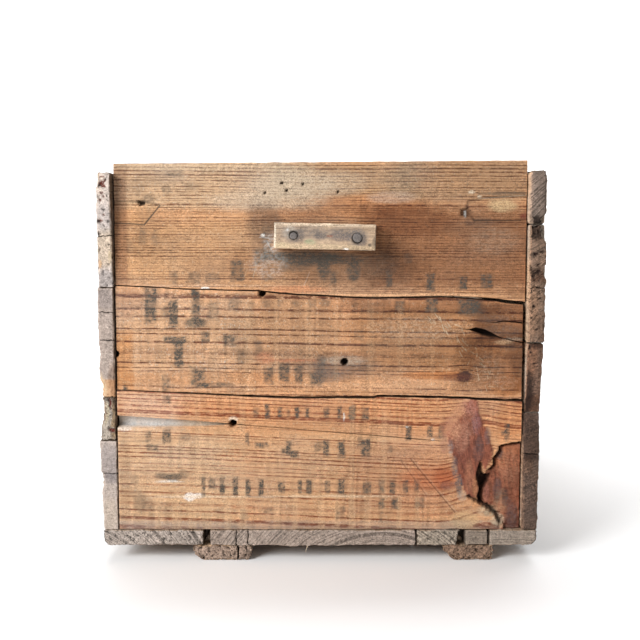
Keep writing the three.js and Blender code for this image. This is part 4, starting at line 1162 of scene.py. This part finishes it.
# Across, along: how far each board reaches past the ends, and its outer face; top board first.
sideShapes = {
    "left": [
        {"start": [(241.8, -238), (339.6, -246)], "finish": [(241.8, 241), (339.6, 239)],
         "outer": [(241.8, 191.2), (339.6, 190.2)], "pits": 1.2, "wear": 1.5,
         "checks": [{"at": 286.0, "run": 30, "deep": 3.0},
                    {"at": 270.0, "run": 22, "deep": 2.5, "end": "finish"}],
         "bites": [{"at": 338.0, "reach": 12, "run": 9, "deep": 3.0}],
         "endTones": [tint(276, 184, 16, 8, (1.0, 0.95, 0.84)),
                      # the grey band near this end's lower edge is painted shade
                      tint(249, 184, 8, 9, (0.66, 0.68, 0.72)),
                      tint(300, 185, 14, 7, (0.9, 0.92, 0.96)),
                      # the dark strip along this end's inner edge is painted shade
                      tint(290, 178, 60, 1.6, (0.5, 0.46, 0.42))],
         "endPaints": [blot(262, 189, 4, 1.6, (0.55, 0.33, 0.17), 0.6),
                       blot(330, 188, 9, 3, (0.75, 0.6, 0.48), 0.4, patchy=0.5),
                       blot(268, 180.5, 6, 1.5, (0.40, 0.30, 0.16), 0.4)],
         "look": dict(sawnColour=(0.55, 0.465, 0.41), mottle=1.3, pith=(170.0, -320.0), ring=3.4,
                      pores=0.8, endLines=0.1),
         "endHoles": [(330.5, 187.5, 1.8, 2.8), (333, 184.0, 0.9, 1.2), (328, 184.5, 1.0, 2.0),
                      (322.5, 186, 0.8, 1.5), (319.5, 184.5, 1.0, 1.0), (316.5, 187.6, 0.8, 1.2),
                      (304, 184.6, 0.8, 0.9), (299, 188.2, 1.1, 2.2), (336, 187, 0.5, 2.5)]},
        {"start": [(146.4, -238), (241.4, -238)], "finish": [(146.4, 240), (241.4, 242)],
         "outer": [(146.4, 191.8), (241.4, 192.4)], "pits": 0.5,
         "checks": [{"at": 196.0, "run": 40, "deep": 3.5}, {"at": 220, "run": 16, "deep": 1.5}],
         "bites": [{"at": 152, "reach": 11, "run": 14, "deep": 3.0, "bare": 0.8},
                   {"at": 184, "reach": 8, "run": 8, "deep": 1.2}],
         "endTones": [tint(232, 186, 9, 9, (0.8, 0.82, 0.86)), tint(160, 181, 16, 4, (0.7, 0.62, 0.56)),
                      # the dark strip along this end's inner edge is painted shade
                      tint(190, 178.6, 60, 1.4, (0.6, 0.55, 0.5))],
         "endPaints": [blot(156, 190.5, 11, 2.2, (0.60, 0.44, 0.28), 0.7, patchy=0.3)],
         "look": dict(sawnColour=(0.385, 0.31, 0.267), mottle=1.1, spots=0.2, pith=(120.0, -210.0),
                      ring=3.0, pores=0.5, endLines=0.1)},
        {"start": [(108.2, -238.5), (146, -238.5)], "finish": [(108.2, 237), (146, 237)],
         "outer": [(108.2, 191.4), (146, 190.8)], "pits": 1.8, "endRelief": 1.5, "wear": 2.2,
         "bites": [{"at": 134, "reach": 14, "run": 12, "deep": 4.0, "dark": 0.2}],
         # the first tone, a dark strip along this end's inner edge, is painted shade
         "endTones": [tint(127, 180.5, 22, 3, (0.62, 0.50, 0.36)),
                      tint(145, 184, 3, 9, (0.35, 0.33, 0.32))],
         "endPaints": [blot(132, 189, 10, 2, (0.55, 0.45, 0.28), 0.5, patchy=0.4)],
         "look": dict(sawnColour=(0.42, 0.36, 0.30), mottle=1.8, spots=0.8, pith=(60.0, -260.0),
                      ring=2.2, pores=1.5, endLines=0.3),
         "endHoles": [(141, 185, 5.5, 1.2), (117, 181, 1.6, 3.5)]},
        {"start": [(27.6, -238), (107.8, -238)], "finish": [(27.6, 239), (107.8, 240)],
         "outer": [(27.6, 190.4), (107.8, 193.0)], "pits": 0.4,
         "checks": [{"at": 78.6, "run": 26, "deep": 3.0}],
         "bites": [{"at": 72, "reach": 9, "run": 18, "deep": 1.6}],
         "endTones": [tint(88, 185, 16, 9, (0.78, 0.79, 0.83)), tint(74, 184, 5, 9, (0.7, 0.71, 0.74)),
                      tint(40, 186, 16, 8, (1.08, 1.06, 1.0)),
                      # the dark strip along this end's inner edge is painted shade
                      tint(68, 177.8, 60, 1.2, (0.6, 0.55, 0.5))],
         "look": dict(sawnColour=(0.44, 0.368, 0.325), mottle=0.9, spots=0.15, pith=(-60.0, -200.0),
                      ring=3.6, pores=0.3, endLines=0.1)},
    ],
    "right": [
        {"start": [(295.9, -246), (341.4, -246)], "finish": [(295.9, 243), (341.4, 241)],
         "outer": [(295.9, 193.0), (341.4, 192.4)], "wear": 4.0, "endRelief": 0.9,
         "bites": [{"at": 297, "reach": 8, "run": 10, "deep": 5.0, "dark": 0.6},
                   {"at": 298, "reach": 5, "run": 6, "deep": 2.5, "dark": 0.5, "outer": False}],
         "endTones": [tint(299, 186, 4, 9, (0.35, 0.3, 0.28)), tint(318, 192, 30, 2, (0.8, 0.8, 0.8)),
                      # the light strip along this end's inner edge is painted highlight where the key
                      # light catches the rim
                      tint(320, 179.5, 30, 1.2, (1.2, 1.15, 1.1))],
         "look": dict(sawnColour=(0.225, 0.166, 0.134), pith=(225.0, 275.0), ring=3.0, pores=0.7,
                      endLines=1.5, mottle=1.3, lateFrom=0.3)},
        {"start": [(194.4, -246), (295.5, -247)], "finish": [(194.4, 239), (295.5, 238)],
         "outer": [(194.4, 193.0), (295.5, 193.0)], "pits": 0.7, "endRelief": 1.2, "wear": 2.6,
         "checks": [{"at": 242, "run": 12, "deep": 2.5}],
         "bites": [{"at": 291, "reach": 10, "run": 10, "deep": 5.0, "dark": 0.5},
                   {"at": 256, "reach": 6, "run": 6, "deep": 2.0, "dark": 0.3}],
         "endTones": [tint(290, 186, 7, 9, (0.5, 0.46, 0.44)), tint(252, 186, 6, 9, (0.55, 0.45, 0.4)),
                      # the lighter patch at this end's inner edge is painted highlight where the key
                      # light catches the rim
                      tint(222, 182, 22, 5, (1.25, 1.15, 1.05)),
                      tint(208, 190, 14, 4, (0.75, 0.7, 0.66))],
         "look": dict(sawnColour=(0.22, 0.135, 0.09), mottle=2.4, spots=0.7, pith=(150.0, 260.0),
                      ring=3.0, pores=1.2, endLines=0.95, lateFrom=0.35),
         "endHoles": [(271, 183.5, 1.0, 1.6), (273, 189, 0.7, 2.2), (256, 188, 1.2, 2.6),
                      (252, 182, 1.0, 2.0), (254.5, 185, 0.7, 3.0), (240, 180.5, 1.0, 0.8),
                      (226, 183, 1.0, 1.0), (216, 181, 0.8, 0.8), (206, 186, 0.7, 1.2),
                      (293.5, 181, 1.2, 2.2), (294.5, 186, 0.9, 2.6), (290, 189.5, 1.6, 1.2),
                      (288, 184, 0.8, 1.6), (262, 186, 0.6, 1.0), (248, 187, 0.6, 1.2),
                      (233, 188, 0.5, 1.0)]},
        {"start": [(131.9, -234), (194.0, -244)], "finish": [(131.9, 242), (194.0, 243)],
         "outer": [(131.9, 192.6), (194.0, 193.0)], "pits": 0.5, "wear": 2.4,
         "endHoles": [(186, 182, 0.8, 0.8), (176, 186, 0.6, 1.2), (158, 180, 1.2, 0.7),
                      (190.5, 180, 2.0, 1.6)],
         # the first tone here and the first on the third line below are painted shadow cast by the
         # front bottom board's proud strip
         "endTones": [tint(150, 181, 22, 5, (0.28, 0.24, 0.22)),
                      # the lighter patch at this end's inner edge is painted highlight where the key
                      # light catches the rim
                      tint(180, 183, 14, 5, (1.5, 1.35, 1.2)),
                      tint(140, 186, 8, 9, (0.6, 0.5, 0.42)), tint(192, 185, 3, 9, (0.4, 0.35, 0.32))],
         "look": dict(sawnColour=(0.152, 0.077, 0.047), mottle=2.6, spots=0.8, pith=(80.0, 230.0),
                      ring=2.8, pores=1.2, endLines=0.7, lateFrom=0.35)},
        {"start": [(27.6, -239), (95, -239), (131.5, -234)], "finish": [(27.6, 238), (131.5, 237)],
         "outer": [(27.6, 191.4), (131.5, 192.6)], "pits": 0.5, "wear": 2.2,
         "checks": [{"at": 95.7, "run": 22, "deep": 2.5}],
         # the first tone is painted shadow cast by the front bottom board's proud strip; the second, a
         # lighter patch at the inner edge, is painted highlight
         "endTones": [tint(110, 184, 20, 9, (0.72, 0.66, 0.62)), tint(85, 182, 8, 5, (1.2, 1.1, 1.0)),
                      # the light strip along this end's inner edge is painted highlight where the key
                      # light catches the rim
                      tint(45, 178.6, 30, 1.6, (1.5, 1.45, 1.35)),
                      tint(93, 184, 3, 9, (0.5, 0.45, 0.42))],
         "look": dict(sawnColour=(0.104, 0.0605, 0.0435), mottle=2.7, spots=0.8, pith=(-40.0, 240.0),
                      ring=3.0, pores=1.2, endLines=0.7, lateFrom=0.35)},
    ],
}
for side, boards in sideShapes.items():
    for row, shape in enumerate(boards, 1):
        sign = -1 if side == "left" else 1
        makeBoard(f"{side}_side_board_{row}", side,
                  {"seed": 20 + row + sign * 3, "step": (4.5, 1.2, 1.1), "fineEnds": (14, 1.2),
                   "wear": 1.6,
                   "endRelief": 0.8, "edgeWobble": 0.7, "edgeGrimeAndShade": 0.6,
                   # left boards' inner faces near the ends get painted shade, as they face away from
                   # the key light; right boards' get painted highlight, as they face it
                   "innerPaintedLight": (0.42, 0.38, 0.34) if side == "left" else (1.7, 1.6, 1.5),
                   "sawnReach": 0.35 if side == "left" else 7.0,
                   "holeColour": (0.11, 0.022, 0.013) if side == "left" else (0.03, 0.012, 0.008),
                   "tones": [tint(-120 + 90 * row % 240, 60 + 45 * row, 90, 40, (0.8, 0.8, 0.82)),
                             tint(130 - 60 * row % 150, 300 - 60 * row, 70, 30, (1.1, 1.05, 1.0))],
                   **{key: value for key, value in shape.items() if key != "look"}},
                  makeWood(f"{side} side wood {row}", grain="yzx", seed=20.0 + row + sign * 3,
                           early=(0.34, 0.24, 0.16), late=(0.16, 0.09, 0.055), grey=0.75, bands=0.16,
                           dirt=0.5, **{"ring": 2.8, **shape["look"]}))

print("bottom")


def bowed(edge, by):
    # a long edge that is straight at the ends, and further out between them
    return [(-236, edge), (-222, edge), (-200, edge + by), (200, edge + by), (222, edge), (236, edge)]


bottomShapes = [
    {"lowSide": [(-27.3, 0), (-18.5, 0), (-13.8, 3.2)], "pits": 1.4, "wear": 1.9,
     "high": bowed(-103.3, 2.6), "endRelief": 1.1,
     "look": dict(sawnColour=(0.41, 0.345, 0.30), pith=(-210.0, -40.0), ring=3.2, endLines=1.1,
                  pores=1.9, mottle=2.0, spots=0.8)},
    {"checks": [{"at": -74.0, "run": 30, "deep": 4.5}, {"at": -63.5, "run": 34, "deep": 4.5}],
     "edgeWobble": 0.5, "relief": 0.5, "pits": 0.7, "low": bowed(-97.2, -2.6),
     "outer": [(-97, -13.8), (-45, -13.6), (-22, -13.0), (-8, -13.5), (12, -13.1), (30, -14.0),
               (84, -13.7)],
     "look": dict(sawnColour=(0.38, 0.30, 0.25), pith=(60.0, -70.0), ring=3.0, endLines=1.0, pores=1.0,
                  mottle=1.5)},
    {"highSide": [(-27.3, 0), (-13.8, -2.9)], "pits": 1.0, "endRelief": 1.2, "wear": 1.8,
     "high": bowed(122.7, 2.4),
     "look": dict(sawnColour=(0.40, 0.33, 0.26), pith=(40.0, -60.0), ring=2.4, endLines=1.2, pores=1.7,
                  mottle=1.9, spots=0.8)},
    {"wear": 1.4, "low": bowed(128.1, -2.3),
     "look": dict(sawnColour=(0.27, 0.215, 0.17), pith=(138.0, -200.0), ring=4.2, mottle=1.5)},
    {"highSide": [(-27.3, 0), (-18.3, 0), (-13.8, -4.2)], "wear": 2.4,
     "look": dict(sawnColour=(0.33, 0.27, 0.22), pith=(170.0, -260.0), ring=4.5, pores=0.8,
                  mottle=1.5)},
]
for i, shape in enumerate(bottomShapes, 1):
    makeBoard(f"bottom_board_{i}", "under",
              {"seed": 40 + i, "step": (5.0, 1.6, 1.2), "fineEnds": (12, 1.2), "wear": 1.2,
               "endRelief": 0.8,
               # the gaps between the bottom boards are darkened: dirt and painted shade
               "edgeGrimeAndShade": 0.75,
               "tones": [tint(-130 + 60 * i, -150 + 70 * i, 80, 50, (0.8, 0.8, 0.82))],
               **{key: value for key, value in shape.items() if key != "look"}},
              makeWood(f"bottom wood {i}", grain="yxz", seed=40.0 + i, early=(0.36, 0.25, 0.165),
                       late=(0.17, 0.09, 0.05), grey=0.6, dirt=0.5, bands=0.25, **shape["look"]))
runnerShapes = {
    "left": {"lowSide": [(-13.5, 0), (-8, 0.5), (0, 7.4)], "highSide": [(-13.5, 0), (-6, 0), (0, -1.9)],
             "pits": 2.0, "checks": [{"at": -72.6, "run": 60, "deep": 6.0},
                                     {"at": -71.8, "run": 8, "deep": 4.0}],
             "look": dict(sawnColour=(0.365, 0.26, 0.20), pith=(-86.0, -8.0), ring=5.0, endLines=0.4,
                          pores=2.3, mottle=2.9, spots=1.0)},
    "right": {"lowSide": [(-13.5, 0), (-9, 1), (0, 9)], "highSide": [(-13.5, 0), (0, -0.6)],
              "pits": 1.8,
              "look": dict(sawnColour=(0.30, 0.187, 0.126), pith=(230.0, -80.0), ring=2.6, endLines=0.9,
                           pores=2.4, mottle=3.2, spots=1.0)},
}
for side, shape in runnerShapes.items():
    makeBoard(f"{side}_runner", "under",
              {"seed": 50 if side == "left" else 53, "step": (5.0, 1.1, 1.1), "fineEnds": (12, 1.1),
               "wear": 3.6,
               "endRelief": 2.3, **{key: value for key, value in shape.items() if key != "look"}},
              makeWood(f"{side} runner wood", grain="yxz", seed=50.0 if side == "left" else 53.0,
                       grey=0.4,
                       early=(0.32, 0.21, 0.13), late=(0.15, 0.075, 0.04), dirt=0.5, **shape["look"]))


def makeSplinter(at, length):
    # a loose sliver that hangs under a board's end
    bm = bmesh.new()
    bmesh.ops.create_cone(bm, cap_ends=True, segments=6, radius1=0.12, radius2=0.55, depth=length)
    sides = [e for e in bm.edges if abs(e.verts[0].co.z - e.verts[1].co.z) > 1]
    bmesh.ops.subdivide_edges(bm, edges=sides, cuts=4)
    tone = bm.verts.layers.float_color.new("tone")
    paint = bm.verts.layers.float_color.new("paint")
    for v in bm.verts:
        v[tone], v[paint] = (0.5, 0.5, 0.5, 1), (0, 0, 0, 0)
        x, y, z = v.co
        fromTop = 0.5 - z / length
        v.co = (Vector((at[0] + x - 1.1 * fromTop ** 2 + 0.4 * math.sin(6 * fromTop),
                        at[1] + y * 0.6 - 0.8 * fromTop, at[2] - length / 2 + z))) * mm
    bmesh.ops.recalc_face_normals(bm, faces=bm.faces)
    splinterWood = makeWood("splinter wood", grain="zxy", early=(0.66, 0.52, 0.36), bump=0.3)
    addPiece(bm, "bottom_splinter", splinterWood)


makeSplinter((-11.4, -237.2, 14.6), 7.0)

print("handles and corner cleats")
handleSets = {
    "front": {"seed": 60, "tilt": 1.3, "at": (4.1, 285.6), "nailsAt": ((-22.3, 286.1), (31.3, 284.5))},
    "back": {"seed": 64, "tilt": -0.7, "at": (-3.5, 287.0), "nailsAt": ((-29.5, 286.8), (24.0, 287.2))},
}
for end, grip in handleSets.items():
    x, z = grip["at"]
    smudgesAndHighlights = []
    for nailX, nailZ in grip["nailsAt"]:
        smudgesAndHighlights += [blot(nailX, nailZ, 9, 6.5, (0.13, 0.115, 0.11), 0.6, soft=0.8, patchy=0.3),
                    blot(nailX + 3, nailZ - 1, 5, 5, (0.07, 0.06, 0.06), 0.45, soft=0.8)]
    smudgesAndHighlights += [
        blot(x - 1, z + 2.5, 34, 4.5, (0.16, 0.135, 0.12), 0.6, soft=0.8, patchy=0.5),
        blot(x - 12, z - 5, 5, 2.5, (0.22, 0.30, 0.17), 0.5, patchy=0.5),
        blot(x - 4, z + 0.5, 5, 3.5, (0.09, 0.08, 0.08), 0.5, patchy=0.3),
        blot(x + 14, z, 9, 4, (0.10, 0.085, 0.09), 0.5, patchy=0.3),
        blot(x + 20, z + 5, 14, 4.5, (0.14, 0.12, 0.11), 0.35, patchy=0.4),
        blot(x - 12, z + 7, 10, 3.5, (0.2, 0.16, 0.13), 0.4, patchy=0.4),
        blot(x + 4, z + 0.4, 2.4, 1, (0.20, 0.05, 0.03), 0.6),
        blot(x - 35, z - 8, 7, 2.5, (0.50, 0.40, 0.25), 0.5),
        # pale strips along the handle's top, bottom and left edges: worn wood, and painted highlight
        # where the light catches the edges
        blot(x, z + 9.8, 46, 1.6, (0.66, 0.52, 0.38), 0.6, soft=0.5, patchy=0.4),
        blot(x, z - 8.8, 46, 2.6, (0.58, 0.43, 0.27), 0.55, soft=0.5, patchy=0.3),
        blot(x - 42.2, z, 1.1, 12, (0.66, 0.58, 0.46), 0.6, soft=0.5),
        blot(x + 41.5, z - 4, 1.5, 5, ink, 0.5), blot(x + 18, z - 10.3, 2.2, 1.1, bright, 0.7),
        blot(x + 38, z - 6.5, 1.6, 1.6, ink, 0.7),
        blot(x - 30, z + 3, 6, 6, (0.46, 0.40, 0.33), 0.4, patchy=0.5),
        blot(x - 31.5, z + 4.8, 1.1, 1.0, bright, 0.8)]
    makeBoard(f"{end}_handle", end,
              {"seed": grip["seed"], "step": (0.9, 0.8, 1.2), "wear": 1.3, "size": (86, 22),
               "endRelief": 0.4,
               "tilt": grip["tilt"], "paints": smudgesAndHighlights},
              makeWood(f"{end} handle wood", seed=float(grip["seed"]), ring=2.6,
                       early=(0.45, 0.315, 0.205), late=(0.18, 0.115, 0.07),
                       greyWood=(0.34, 0.275, 0.22), grey=0.4, bands=0.15,
                       darkFlecks=0.8, pith=(330.0, -120.0), sawnColour=(0.42, 0.34, 0.26)))
    for side in ("left", "right"):
        makeBoard(f"corner_cleat_{end}_{side}", "uprightFront" if end == "front" else "uprightBack",
                  {"seed": 70 + len(end) + len(side), "step": (3.0, 2.0, 2.0), "endRelief": 0.7},
                  makeWood(f"{end} {side} cleat wood", grain="zxy", seed=70.0 + len(end) + len(side),
                           ring=2.6,
                           early=(0.40, 0.28, 0.18), late=(0.19, 0.10, 0.055), grey=0.4))

print("nails")
rust = makeRust("rusty nail")
steel = makeRust("worn nail", dark=(0.10, 0.088, 0.085), light=(0.20, 0.17, 0.15), shine=0.35)
for i, nail in enumerate(nails):
    makeNail(nail, 1.0 + i * 0.77, steel if "handle" in nail["name"] else rust)


cameraSet = {"distance": 0.800, "tilt": 5.12, "aimHeight": 0.2137, "aimY": -0.2385,
             "lens": 52.05, "sensor": 36}
lightSet = {
    "key": {"at": (-1.25, -1.40, 0.95), "aim": (0, -0.24, 0.18), "size": 0.9, "power": 42.0},
    "backdrop light": {"at": (0.2, 1.1, 2.7), "aim": (0, 2.9, 0.6), "size": 2.5, "power": 120.0},
}
worldLight = 0.36
floorSet = {"size": 5.0, "bendAt": 1.6, "bendRadius": 1.5,
            "dark": (0.90, 0.90, 0.905), "light": (0.93, 0.93, 0.93)}


def makeCamera():
    camera = bpy.data.objects.new("camera", bpy.data.cameras.new("camera"))
    bpy.context.scene.collection.objects.link(camera)
    camera.data.lens = cameraSet["lens"]
    camera.data.sensor_width = cameraSet["sensor"]
    tilt = math.radians(cameraSet["tilt"])
    camera.location = (0, cameraSet["aimY"] - cameraSet["distance"] * math.cos(tilt),
                       cameraSet["aimHeight"] + cameraSet["distance"] * math.sin(tilt))
    camera.rotation_euler = (math.pi / 2 - tilt, 0, 0)
    bpy.context.scene.camera = camera


def makeLight(name, at, aim, size, power):
    light = bpy.data.objects.new(name, bpy.data.lights.new(name, "AREA"))
    bpy.context.scene.collection.objects.link(light)
    light.data.size = size
    light.data.energy = power
    light.location = at
    light.rotation_euler = (Vector(aim) - Vector(at)).to_track_quat("-Z", "Y").to_euler()


def makeFloor():
    # a floor that sweeps up into a backdrop
    bm = bmesh.new()
    bmesh.ops.create_grid(bm, x_segments=2, y_segments=60, size=floorSet["size"])
    bend, radius = floorSet["bendAt"], floorSet["bendRadius"]
    for v in bm.verts:
        past = v.co.y - bend
        if past > 0:
            angle = min(past / radius, math.pi / 2)
            v.co.y = bend + radius * math.sin(angle)
            v.co.z = radius * (1 - math.cos(angle)) + max(0, past - radius * math.pi / 2)
    for face in bm.faces:
        face.smooth = True
    mesh = bpy.data.meshes.new("floor")
    bm.to_mesh(mesh)
    bm.free()
    material = bpy.data.materials.new("pale floor")
    material.use_nodes = True
    tree = material.node_tree
    start = Wire(tree)
    tree.nodes.clear()
    cloudy = start.node("TexNoise", {}, {"Vector": start.node("TexCoord", output="Object"),
                                         "Scale": 3.0, "Detail": 2.0})
    colour = cloudy.mix(floorSet["dark"], floorSet["light"])
    shader = start.node("BsdfPrincipled", {}, {"Base Color": colour, "Roughness": 0.9})
    output = tree.nodes.new("ShaderNodeOutputMaterial")
    tree.links.new(shader.socket, output.inputs["Surface"])
    mesh.materials.append(material)
    floor = bpy.data.objects.new("floor", mesh)
    bpy.context.scene.collection.objects.link(floor)


makeCamera()
for name, light in lightSet.items():
    makeLight(name, **light)
makeFloor()
world = bpy.data.worlds.new("studio")
bpy.context.scene.world = world
world.use_nodes = True
world.node_tree.nodes["Background"].inputs[0].default_value = (1, 1, 1, 1)
world.node_tree.nodes["Background"].inputs[1].default_value = worldLight
bpy.context.scene.view_settings.view_transform = "Standard"

print("finishing")
